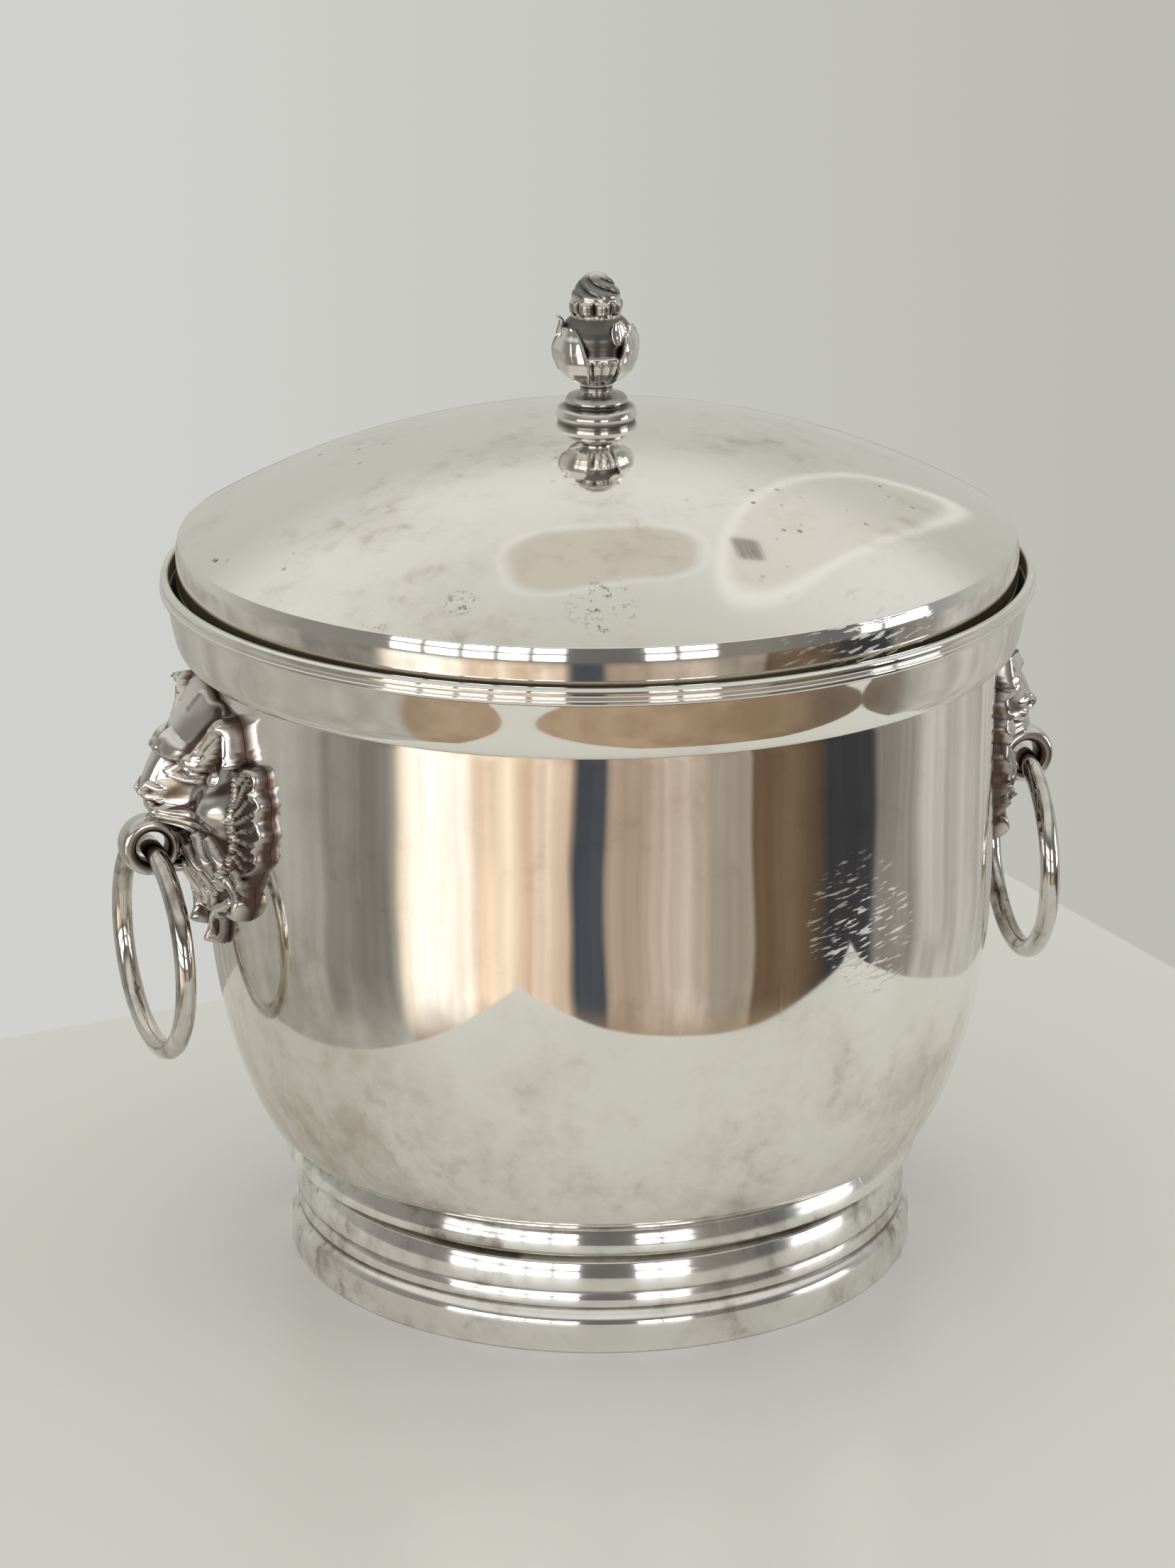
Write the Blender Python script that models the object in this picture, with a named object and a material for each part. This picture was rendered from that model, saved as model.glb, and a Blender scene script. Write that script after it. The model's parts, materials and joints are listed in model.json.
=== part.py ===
# Silver champagne bucket: a spun bowl body on a moulded foot, a collar and a beaded rim, a lift-out
# liner, a domed lid with a bud finial, and two cast lion masks that each hold a ring handle.
#
# Lengths are in millimetres, and MM turns them into metres where a mesh or a place is made.
# The origin is the middle of the foot's contact plane, +Z is up, and the ring handles lie on X.

import math

import bmesh
import bpy
from mathutils import Matrix, Vector

MM = 0.001
GAP = 0.3
SHEET = 1.2

# Body shell
BODY_RADIUS = 92.4
BOWL_CENTRE_Z = 95.0
BOWL_RADIAL_AXIS = 31.0
BOWL_VERTICAL_AXIS = 75.0
BODY_FLOOR_Z = 31.6
BODY_FLOOR_RADIUS = 74.0
SHELF_Z = 150.3
SHELF_RADIUS = 95.0

# Collar and rim
COLLAR_BOTTOM_Z = 148.5
COLLAR_TOP_Z = 161.6
COLLAR_RADIUS = 99.5
COLLAR_SHEET = 1.1
RIM_TOP_Z = 165.7
RIM_BORE = 98.7
RIM_BEAD_RADIUS = 100.8

# Foot
FOOT_RADIUS = 74.3
FOOT_CONTACT_WIDTH = 3.8
FOOT_TOP_Z = BODY_FLOOR_Z - GAP

# Liner
LINER_BORE = 84.0
LINER_WALL = 1.0
LINER_FLOOR_Z = 42.0
LINER_CORNER = 18.0
LINER_FLANGE_Z = SHELF_Z + SHEET + GAP
LINER_FLANGE_RADIUS = 96.0

# Lid
LID_RADIUS = 97.0
LID_SHEET = 1.0
LID_SEAT_Z = LINER_FLANGE_Z + LINER_WALL + GAP
LID_SEAT_RADIUS = 95.6
LID_BAND_Z = (162.0, 167.0)
LID_SHOULDER = (96.3, 173.7)
LID_BULGE = (96.85, 171.2)
LID_APEX_Z = 199.5
DOME_EDGE_RADIUS = 94.0
DOME_EDGE_Z = 175.0
BEZEL_RADIUS = 83.6
BEZEL_BOTTOM_Z = 146.0

# Finial
FINIAL_STEM_RADIUS = 2.0
FINIAL_BORE = FINIAL_STEM_RADIUS + GAP
FINIAL_SEAT_Z = LID_APEX_Z + GAP
FINIAL_NECK_Z = 207.2
FINIAL_TOP_Z = 233.5
FINIAL_LOBES = 8
FINIAL_LOBE_DEPTH = 0.05

# Lion masks, in millimetres round the body (s), up (z) and out from the body's wall (h)
MASK_CENTRE_Z = 115.0
MASK_EDGE = 2.6
MASK_WAIST = 13.0
EYE_OUT = 15.0
EYE_Z = 108.2
EYE_RADIUS = 7.0
EYE_BORE = 3.6
EYE_WIDTH = 7.0

# Ring handles
RING_RADIUS = 24.1
RING_WIRE = 2.35
RING_DROP = 0.6
RING_SKEW = math.radians(5.3)

# Mask fixings
STUD_HEIGHTS = {"upper": 133.0, "lower": 97.0}
STUD_RADIUS = 1.5
STUD_BORE = STUD_RADIUS + GAP
STUD_DEPTH = 4.0
WASHER_RADIUS = 3.6
WASHER_THICKNESS = 0.7
NUT_RADIUS = 3.2
NUT_THICKNESS = 2.2

# Facets round each kind of piece
BODY_FACETS = 36
FINIAL_FACETS = 32
SMALL_FACETS = 16
RING_FACETS = 32
WIRE_FACETS = 10


def clear_scene():
    for obj in list(bpy.data.objects):
        bpy.data.objects.remove(obj)


def metal(name, colour, roughness):
    material = bpy.data.materials.new(name)
    material.use_nodes = True
    shader = material.node_tree.nodes["Principled BSDF"]
    shader.inputs["Base Color"].default_value = (*colour, 1.0)
    shader.inputs["Roughness"].default_value = roughness
    shader.inputs["Metallic"].default_value = 1.0
    return material


def piece(name, mesh_builder, material, parent=None):
    """Turns a bmesh into a smooth-shaded object with its own copy of a material."""
    bmesh.ops.recalc_face_normals(mesh_builder, faces=mesh_builder.faces)
    mesh = bpy.data.meshes.new(name)
    mesh_builder.to_mesh(mesh)
    mesh_builder.free()
    mesh.shade_smooth()
    mesh.set_sharp_from_angle(angle=math.radians(35))
    own = material.copy()
    own.name = name
    mesh.materials.append(own)
    obj = bpy.data.objects.new(name, mesh)
    bpy.context.scene.collection.objects.link(obj)
    obj.parent = parent
    return obj


def empty(name, place=(0, 0, 0), turn=0.0, parent=None):
    obj = bpy.data.objects.new(name, None)
    bpy.context.scene.collection.objects.link(obj)
    obj.location = Vector(place) * MM
    obj.rotation_euler = (0, 0, turn)
    obj.parent = parent
    return obj


def turned_mesh(outline, facets):
    """Spins an outline of (radius, z) points round Z. It closes on itself, or on the axis."""
    builder = bmesh.new()
    points = [builder.verts.new(Vector((r, 0, z)) * MM) for r, z in outline]
    on_axis = outline[0][0] == 0 and outline[-1][0] == 0
    pairs = list(zip(points, points[1:]))
    if not on_axis:
        pairs.append((points[-1], points[0]))
    edges = [builder.edges.new(pair) for pair in pairs]
    bmesh.ops.spin(
        builder,
        geom=points + edges,
        cent=(0, 0, 0),
        axis=(0, 0, 1),
        angle=math.tau,
        steps=facets,
    )
    bmesh.ops.remove_doubles(builder, verts=builder.verts, dist=0.01 * MM)
    return builder


def turned(name, outline, material, facets=BODY_FACETS, parent=None):
    return piece(name, turned_mesh(outline, facets), material, parent)


def arc(centre, radius, start, end, steps):
    """Points on a circle in the (radius, z) plane, from one angle to another, in degrees."""
    angles = [math.radians(start + (end - start) * i / steps) for i in range(steps + 1)]
    return [(centre[0] + radius * math.cos(a), centre[1] + radius * math.sin(a)) for a in angles]


def cutter(obj):
    obj.hide_render = True
    obj.display_type = "WIRE"
    return obj


def boolean(obj, tool, operation):
    modifier = obj.modifiers.new(f"{operation} {tool.name}", "BOOLEAN")
    modifier.operation = operation
    modifier.solver = "EXACT"
    modifier.object = tool


def drum_mesh(radius, low, high, facets, axis, bore=0.0):
    """A round bar between two distances along an axis, or a tube if it has a bore."""
    outline = [(bore, high), (radius, high), (radius, low), (bore, low)]
    builder = turned_mesh(outline, facets)
    turn = {"Z": Matrix.Identity(3), "X": Matrix.Rotation(math.pi / 2, 3, "Y")}
    turn["Y"] = Matrix.Rotation(-math.pi / 2, 3, "X")
    bmesh.ops.rotate(builder, verts=builder.verts, cent=(0, 0, 0), matrix=turn[axis])
    return builder


# ---- Body ----


def bowl_radius(z):
    """Outer radius of the body: straight above the bowl's centre, an ellipse below it."""
    drop = max(0.0, BOWL_CENTRE_Z - z) / BOWL_VERTICAL_AXIS
    return BODY_RADIUS - BOWL_RADIAL_AXIS * (1 - math.sqrt(1 - drop * drop))


def make_body_shell(silver):
    bend = 0.5
    outside = [(SHELF_RADIUS, SHELF_Z + SHEET), (SHELF_RADIUS, SHELF_Z)]
    outside += [(BODY_RADIUS + bend, SHELF_Z), (BODY_RADIUS, SHELF_Z - bend)]
    outside += [(bowl_radius(z), z) for z in (95, 83, 72, 62, 53, 45, 39, 35)]
    outside += [(78.2, 33.0), (76.4, 31.9), (BODY_FLOOR_RADIUS, BODY_FLOOR_Z), (0, BODY_FLOOR_Z)]
    inside = [(0, BODY_FLOOR_Z + SHEET), (BODY_FLOOR_RADIUS - 0.4, BODY_FLOOR_Z + SHEET)]
    inside += [(bowl_radius(z) - SHEET * 1.15, z + 0.2) for z in (35, 39, 45, 53, 62, 72)]
    inside += [(BODY_RADIUS - SHEET, z) for z in (95, SHELF_Z - bend + 0.5)]
    inside += [(BODY_RADIUS - SHEET + bend, SHELF_Z + SHEET)]
    # The shell is open at the top, so its outline is closed by hand from the inside to the shelf.
    outline = [(0, BODY_FLOOR_Z)] + outside[-2::-1] + inside[:0:-1] + [(0, BODY_FLOOR_Z + SHEET)]
    shell = turned("body_shell", outline, silver)
    for level, z in STUD_HEIGHTS.items():
        reach = BODY_RADIUS + 5
        hole = drum_mesh(STUD_BORE, -reach, reach, SMALL_FACETS, "X")
        tool = cutter(piece(f"{level}_stud_holes", hole, silver))
        tool.location = Vector((0, 0, z)) * MM
        boolean(shell, tool, "DIFFERENCE")
    return shell


def make_collar(silver):
    """A band that narrows as it falls and curls in to a flat lip against the body."""
    lip = BODY_RADIUS + GAP + 0.1
    bottom = COLLAR_BOTTOM_Z
    wall = [(COLLAR_RADIUS, COLLAR_TOP_Z), (98.65, 157.0), (97.9, 152.8), (97.4, 150.7)]
    outline = wall + [(96.7, 149.3), (95.4, bottom), (lip, bottom), (lip, bottom + 1.4)]
    outline += [(95.1, bottom + 1.4), (96.2, 151.2)]
    outline += [(r - COLLAR_SHEET, z) for r, z in wall[2::-1]]
    return turned("collar_band", outline, silver)


def make_rim(silver):
    low = COLLAR_TOP_Z + GAP
    groove = 163.4
    outline = [(RIM_BORE, low), (RIM_BORE, RIM_TOP_Z - 0.4), (99.3, RIM_TOP_Z)]
    outline += [(100.0, RIM_TOP_Z), (RIM_BEAD_RADIUS - 0.2, 165.0), (RIM_BEAD_RADIUS - 0.2, 164.2)]
    outline += [(99.85, groove), (RIM_BEAD_RADIUS, 163.0), (RIM_BEAD_RADIUS, 162.4), (100.2, low)]
    return turned("rim_moulding", outline, silver)


def make_foot(silver):
    """A stamped moulding, hollow underneath: a top bead, a groove, a band, a bead and a flange."""
    contact = FOOT_RADIUS - FOOT_CONTACT_WIDTH
    top = FOOT_TOP_Z
    outline = [(66.0, top), (75.3, top), (75.3, 30.9)]
    outline += arc((63.6, 25.4), 12.0, 26, 0, 2)
    outline += [(75.0, 24.8), (70.5, 24.7), (70.3, 22.2)]
    outline += arc((53.9, 14.5), 19.0, 22, 0, 3)
    outline += [(72.2, 14.2)] + arc((64.8, 10.9), 8.0, 20, 0, 1) + [(72.2, 10.2)]
    outline += arc((70.3, 6.3), 4.0, 50, 0, 2)
    outline += [(FOOT_RADIUS, 0.7), (73.8, 0), (contact, 0)]
    outline += [(contact, 8.6), (68.7, 14.0), (68.7, 24.6), (66.0, top - 1.4)]
    return turned("foot_ring", outline, silver)


# ---- Liner and lid ----


def make_liner(silver):
    bore = LINER_BORE
    outer = bore + LINER_WALL
    flange = LINER_FLANGE_Z
    floor = LINER_FLOOR_Z
    corner = LINER_CORNER
    centre = (outer - corner, floor + corner)
    outline = [(0, floor)] + arc(centre, corner, -90, 0, 5)
    outline += [(outer, flange), (LINER_FLANGE_RADIUS, flange)]
    outline += [(LINER_FLANGE_RADIUS, flange + LINER_WALL)]
    outline += [(bore, flange + LINER_WALL)] + arc(centre, corner - LINER_WALL, 0, -90, 5)
    outline += [(0, floor + LINER_WALL)]
    return turned("inner_liner", outline, silver)


def dome_height(r, apex):
    """Height of a spherical dome that falls from its apex to the lid's edge."""
    fall = LID_APEX_Z - DOME_EDGE_Z
    ball = (DOME_EDGE_RADIUS**2 + fall**2) / (2 * fall)
    return apex - ball + math.sqrt(ball**2 - r**2)


def make_lid(silver):
    """A dome with a crisp shoulder, whose band swells, stands upright, and tapers to its seat."""
    radii = [FINIAL_BORE, 14, 32, 48, 62, 75, 86, DOME_EDGE_RADIUS]
    band = [(LID_RADIUS, LID_BAND_Z[1]), (LID_RADIUS, LID_BAND_Z[0]), (LID_SEAT_RADIUS, LID_SEAT_Z)]
    outline = [(r, dome_height(r, LID_APEX_Z)) for r in radii] + [LID_SHOULDER, LID_BULGE] + band
    outline += [(r - LID_SHEET, z) for r, z in reversed(band)]
    outline += [(r, dome_height(r, LID_APEX_Z - LID_SHEET)) for r in reversed(radii)]
    return turned("lid_dome", outline, silver)


def make_bezel(silver):
    outer = LID_SEAT_RADIUS - LID_SHEET - GAP
    skirt = BEZEL_RADIUS - LID_SHEET
    top = LID_SEAT_Z + LID_SHEET
    outline = [(outer, LID_SEAT_Z), (BEZEL_RADIUS, LID_SEAT_Z), (BEZEL_RADIUS, BEZEL_BOTTOM_Z)]
    outline += [(skirt, BEZEL_BOTTOM_Z), (skirt, top), (outer, top)]
    return turned("lid_bezel", outline, silver)


def make_finial(silver, steel):
    seat = FINIAL_SEAT_Z
    base = [(FINIAL_BORE, seat), (9.1, seat), (9.4, 201.0), (8.8, 202.3), (7.1, 202.9)]
    base += [(6.8, 204.5), (5.0, 205.2), (3.8, 206.2), (3.6, FINIAL_NECK_Z)]
    base += [(FINIAL_BORE, FINIAL_NECK_Z)]
    turned("finial_base", base, silver, FINIAL_FACETS)

    low = FINIAL_NECK_Z + GAP
    socket = 216.0
    bud = [(0, socket), (FINIAL_BORE, socket), (FINIAL_BORE, low), (3.8, low), (4.9, 208.8)]
    bud += [(8.4, 211.7), (9.6, 214.6), (9.5, 217.6), (7.4, 221.7), (5.9, 223.7)]
    bud += [(6.5, 225.4), (6.1, 227.6), (4.9, 230.0), (3.2, 232.2), (0, FINIAL_TOP_Z)]
    builder = turned_mesh(bud, FINIAL_FACETS)
    for vertex in builder.verts:
        radius = math.hypot(vertex.co.x, vertex.co.y)
        if radius > (FINIAL_BORE + GAP) * MM:
            lobe = math.cos(FINIAL_LOBES * math.atan2(vertex.co.y, vertex.co.x))
            swell = 1 + FINIAL_LOBE_DEPTH * (lobe - 1) / 2
            vertex.co.x *= swell
            vertex.co.y *= swell
    piece("finial_bud", builder, silver)

    ceiling = LID_APEX_Z - LID_SHEET
    stem = drum_mesh(FINIAL_STEM_RADIUS, 192.0, socket - GAP, SMALL_FACETS, "Z")
    piece("finial_stud", stem, steel)
    washer_top = ceiling - GAP
    washer = drum_mesh(6.0, washer_top - 0.8, washer_top, SMALL_FACETS, "Z", FINIAL_BORE)
    piece("finial_washer", washer, steel)
    nut_top = washer_top - 0.8 - GAP
    nut = drum_mesh(4.2, nut_top - 3.0, nut_top, 6, "Z", FINIAL_BORE + 0.35)
    piece("finial_nut", nut, steel)


# ---- Lion masks and ring handles ----


def blend(points, x):
    """Straight-line value at x of a list of (x, value) points in rising order."""
    for (x0, v0), (x1, v1) in zip(points, points[1:]):
        if x <= x1:
            return v0 + (v1 - v0) * max(0.0, x - x0) / (x1 - x0)
    return points[-1][1]


MASK_PROFILE = [
    (84, 2.0), (90, 3.2), (95, 6.0), (101, 9.0), (110, 9.5), (114, 12.0), (117, 15.0),
    (120, 16.6), (126, 13.6), (133, 10.6), (141, 5.4), (146, 2.2),
]  # fmt: skip
MASK_OUTLINE = [
    (0, 146), (9, 145), (18, 143.5), (22, 138), (25, 133.5), (31, 134), (35.5, 129), (36, 122),
    (34.5, 115), (31, 108.5), (24.5, 103.5), (21.5, 97.5), (14.5, 92), (8.5, 85.5), (3, 87), (0, 90),
]  # fmt: skip
MASK_BUMPS = [
    # (s, z, height, spread round, spread up)
    (17.5, 139, 4.0, 4.0, 5.0),
    (8.0, 131, 3.0, 4.5, 3.5),
    (12.0, 118, 5.0, 7.0, 7.0),
    (31.0, 123, 2.2, 4.0, 9.0),
    (15.0, 99, 2.5, 6.0, 5.0),
]


def mask_height(s, z):
    """Height of the mask's face above the body's wall."""
    ridge = blend(MASK_PROFILE, z)
    height = MASK_EDGE + (ridge - MASK_EDGE) * math.exp(-((s / MASK_WAIST) ** 2))
    for bump_s, bump_z, rise, wide, tall in MASK_BUMPS:
        away = ((abs(s) - bump_s) / wide) ** 2 + ((z - bump_z) / tall) ** 2
        height += rise * math.exp(-away)
    return max(height, 1.2)


def on_body(s, z, h):
    """The point at a distance s round the body from +X, and h out from its wall."""
    angle = s / BODY_RADIUS
    reach = BODY_RADIUS + h
    return Vector((reach * math.cos(angle), reach * math.sin(angle), z)) * MM


def mask_mesh():
    """A fan of rings from the mask's middle to its outline, on the face and on the back."""
    half = MASK_OUTLINE
    fine = []
    for (s0, z0), (s1, z1) in zip(half, half[1:]):
        fine += [(s0, z0), ((s0 + s1) / 2, (z0 + z1) / 2)]
    fine.append(half[-1])
    outline = fine + [(-s, z) for s, z in fine[-2:0:-1]]
    shares = (0.17, 0.36, 0.56, 0.78, 1.0)
    builder = bmesh.new()

    def ring(share, height):
        places = [(s * share, MASK_CENTRE_Z + (z - MASK_CENTRE_Z) * share) for s, z in outline]
        return [builder.verts.new(on_body(s, z, height(s, z))) for s, z in places]

    def back(s, z):
        return GAP + 0.1

    def edge(s, z):
        return 1.4

    faces = [ring(share, mask_height) for share in shares[:-1]] + [ring(1.0, edge)]
    backs = [ring(share, back) for share in shares]
    loops = faces + backs[::-1]
    for near, far in zip(loops, loops[1:]):
        for i in range(len(outline)):
            j = (i + 1) % len(outline)
            builder.faces.new((near[i], near[j], far[j], far[i]))
    for loop, height in ((faces[0], mask_height), (backs[0], back)):
        middle = builder.verts.new(on_body(0, MASK_CENTRE_Z, height(0, MASK_CENTRE_Z)))
        for i in range(len(outline)):
            builder.faces.new((middle, loop[i], loop[(i + 1) % len(outline)]))
    return builder


def eye_place():
    return (BODY_RADIUS + EYE_OUT, 0, EYE_Z)


def make_mask(side, mount, silver):
    mask = piece(f"{side}_lion_mask", mask_mesh(), silver, mount)
    place = Vector(eye_place()) * MM
    half = EYE_WIDTH / 2
    round_off = 1.2
    rounded = [(0, half), (EYE_RADIUS - round_off, half), (EYE_RADIUS, half - round_off)]
    rounded += [(EYE_RADIUS, round_off - half), (EYE_RADIUS - round_off, -half), (0, -half)]
    builder = turned_mesh(rounded, 20)
    turn = Matrix.Rotation(-math.pi / 2, 3, "X")
    bmesh.ops.rotate(builder, verts=builder.verts, cent=(0, 0, 0), matrix=turn)
    boss = cutter(piece(f"{side}_eye_boss", builder, silver, mount))
    boss.location = place
    boolean(mask, boss, "UNION")
    hole = drum_mesh(EYE_BORE, -EYE_WIDTH * 4, EYE_WIDTH * 4, 20, "Y")
    tool = cutter(piece(f"{side}_eye_bore", hole, silver, mount))
    tool.location = place
    boolean(mask, tool, "DIFFERENCE")
    for level, z in STUD_HEIGHTS.items():
        blind = drum_mesh(STUD_BORE, BODY_RADIUS - 2, BODY_RADIUS + STUD_DEPTH, SMALL_FACETS, "X")
        tool = cutter(piece(f"{side}_{level}_stud_socket", blind, silver, mount))
        tool.location = Vector((0, 0, z)) * MM
        boolean(mask, tool, "DIFFERENCE")
    return mask


def make_fixings(side, mount, steel):
    """A stud from each socket in the mask through the wall, with its washer and nut inside."""
    washer_face = BODY_RADIUS - SHEET - GAP
    nut_face = washer_face - WASHER_THICKNESS - GAP
    stud_end = nut_face - NUT_THICKNESS - 0.7
    for level, z in STUD_HEIGHTS.items():
        place = Vector((0, 0, z)) * MM
        tip = BODY_RADIUS + STUD_DEPTH - GAP
        drums = {
            "stud": (STUD_RADIUS, stud_end, tip, SMALL_FACETS, "X"),
            "washer": (
                WASHER_RADIUS, washer_face - WASHER_THICKNESS, washer_face, SMALL_FACETS, "X",
                STUD_BORE,
            ),
            "nut": (NUT_RADIUS, nut_face - NUT_THICKNESS, nut_face, 6, "X", STUD_BORE + 0.35),
        }  # fmt: skip
        for kind, drum in drums.items():
            fixing = piece(f"{side}_{level}_{kind}", drum_mesh(*drum), steel, mount)
            fixing.location = place


def make_ring(side, mount, skew, silver):
    """A round wire ring that hangs from the eye, with its origin on the hinge axis."""
    x, y, z = eye_place()
    hinge = empty(f"{side}_ring_hinge", (x, y, z - RING_DROP), skew, mount)
    builder = bmesh.new()
    for i in range(WIRE_FACETS):
        a = math.tau * i / WIRE_FACETS
        centre = Vector((math.cos(a) * RING_WIRE, 0, math.sin(a) * RING_WIRE))
        builder.verts.new(centre * MM)
    points = list(builder.verts)
    edges = [builder.edges.new((points[i - 1], points[i])) for i in range(len(points))]
    bmesh.ops.spin(
        builder,
        geom=points + edges,
        cent=Vector((0, 0, -RING_RADIUS)) * MM,
        axis=(1, 0, 0),
        angle=math.tau,
        steps=RING_FACETS,
    )
    bmesh.ops.remove_doubles(builder, verts=builder.verts, dist=0.01 * MM)
    return piece(f"{side}_ring_handle", builder, silver, hinge)


def main():
    clear_scene()
    polished = metal("polished silver plate", (0.93, 0.92, 0.89), 0.08)
    worn = metal("worn silver plate", (0.88, 0.86, 0.82), 0.18)
    cast = metal("cast silver plate", (0.78, 0.74, 0.70), 0.25)
    satin = metal("satin silver plate", (0.85, 0.84, 0.81), 0.35)
    steel = metal("plain steel", (0.55, 0.55, 0.56), 0.4)

    make_body_shell(polished)
    make_collar(polished)
    make_rim(polished)
    make_foot(worn)
    make_liner(satin)
    make_lid(polished)
    make_bezel(satin)
    make_finial(cast, steel)
    for side, turn, skew in (("left", math.pi, RING_SKEW), ("right", 0.0, -RING_SKEW)):
        mount = empty(f"{side}_handle_mount", turn=turn)
        make_mask(side, mount, cast)
        make_fixings(side, mount, steel)
        make_ring(side, mount, skew, polished)


main()
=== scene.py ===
import json
import math

import bmesh
import bpy
import numpy as np
from mathutils import Matrix, Vector


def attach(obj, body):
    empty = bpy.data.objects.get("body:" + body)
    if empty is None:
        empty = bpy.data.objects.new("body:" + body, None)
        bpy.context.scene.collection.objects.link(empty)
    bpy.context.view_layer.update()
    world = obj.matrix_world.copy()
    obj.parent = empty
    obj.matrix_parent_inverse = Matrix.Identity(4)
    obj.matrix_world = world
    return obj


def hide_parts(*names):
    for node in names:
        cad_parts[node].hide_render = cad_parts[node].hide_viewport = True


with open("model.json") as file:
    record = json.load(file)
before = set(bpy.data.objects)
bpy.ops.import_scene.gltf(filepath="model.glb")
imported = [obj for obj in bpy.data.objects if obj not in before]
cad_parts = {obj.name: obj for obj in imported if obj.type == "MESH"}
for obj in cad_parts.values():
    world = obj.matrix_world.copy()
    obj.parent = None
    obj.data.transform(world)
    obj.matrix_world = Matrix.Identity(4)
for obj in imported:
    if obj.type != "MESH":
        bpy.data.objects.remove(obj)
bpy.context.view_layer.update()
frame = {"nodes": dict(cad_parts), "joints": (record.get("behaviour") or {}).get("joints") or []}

mm = 0.001  # lengths below are in millimetres unless a line says otherwise
scene = bpy.context.scene


# one socket of a node tree, with arithmetic that adds Math nodes
class Wire:
    def __init__(self, tree, socket=None):
        self.tree = tree
        self.socket = socket

    def node(self, kind, settings=None, inputs=None, out=0):
        made = self.tree.nodes.new(kind)
        settings = dict(settings or {})
        stops = settings.pop("stops", None)
        for name, value in settings.items():
            setattr(made, name, value)
        if stops:
            band = made.color_ramp.elements
            while len(band) > 1:
                band.remove(band[-1])
            band[0].position = stops[0][0]
            band[0].color = rgb(stops[0][1])
            for place, colour in stops[1:]:
                band.new(place).color = rgb(colour)
        for key, value in (inputs or {}).items():
            if isinstance(value, Wire):
                self.tree.links.new(value.socket, made.inputs[key])
            else:
                made.inputs[key].default_value = value
        return Wire(self.tree, made.outputs[out])

    def also(self, out):
        return Wire(self.tree, self.socket.node.outputs[out])

    def maths(self, operation, a, b=0.0):
        return self.node("ShaderNodeMath", {"operation": operation}, {0: a, 1: b})

    def __add__(self, other):
        return self.maths("ADD", self, other)

    def __radd__(self, other):
        return self.maths("ADD", other, self)

    def __sub__(self, other):
        return self.maths("SUBTRACT", self, other)

    def __rsub__(self, other):
        return self.maths("SUBTRACT", other, self)

    def __mul__(self, other):
        return self.maths("MULTIPLY", self, other)

    def __rmul__(self, other):
        return self.maths("MULTIPLY", other, self)

    def __truediv__(self, other):
        return self.maths("DIVIDE", self, other)

    def __rtruediv__(self, other):
        return self.maths("DIVIDE", other, self)

    def greater(self, other):
        return self.maths("MAXIMUM", self, other)

    def absolute(self):
        return self.maths("ABSOLUTE", self)

    def root(self):
        return self.maths("SQRT", self)

    # 0 below low, 1 above high, smooth between
    def between(self, low, high):
        settings = {"interpolation_type": "SMOOTHSTEP"}
        return self.node("ShaderNodeMapRange", settings, {0: self, 1: low, 2: high})


def split(vector):
    x = vector.node("ShaderNodeSeparateXYZ", None, {0: vector})
    return x, x.also(1), x.also(2)


def blendColour(factor, a, b):
    settings = {"data_type": "RGBA"}
    return factor.node("ShaderNodeMix", settings, {0: factor, 6: a, 7: b}, out=2)


def rgb(colour):
    return (*colour, 1.0)


def newObject(name, mesh):
    made = bpy.data.objects.new(name, mesh)
    scene.collection.objects.link(made)
    return made


silverTint = (0.93, 0.915, 0.875)
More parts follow.
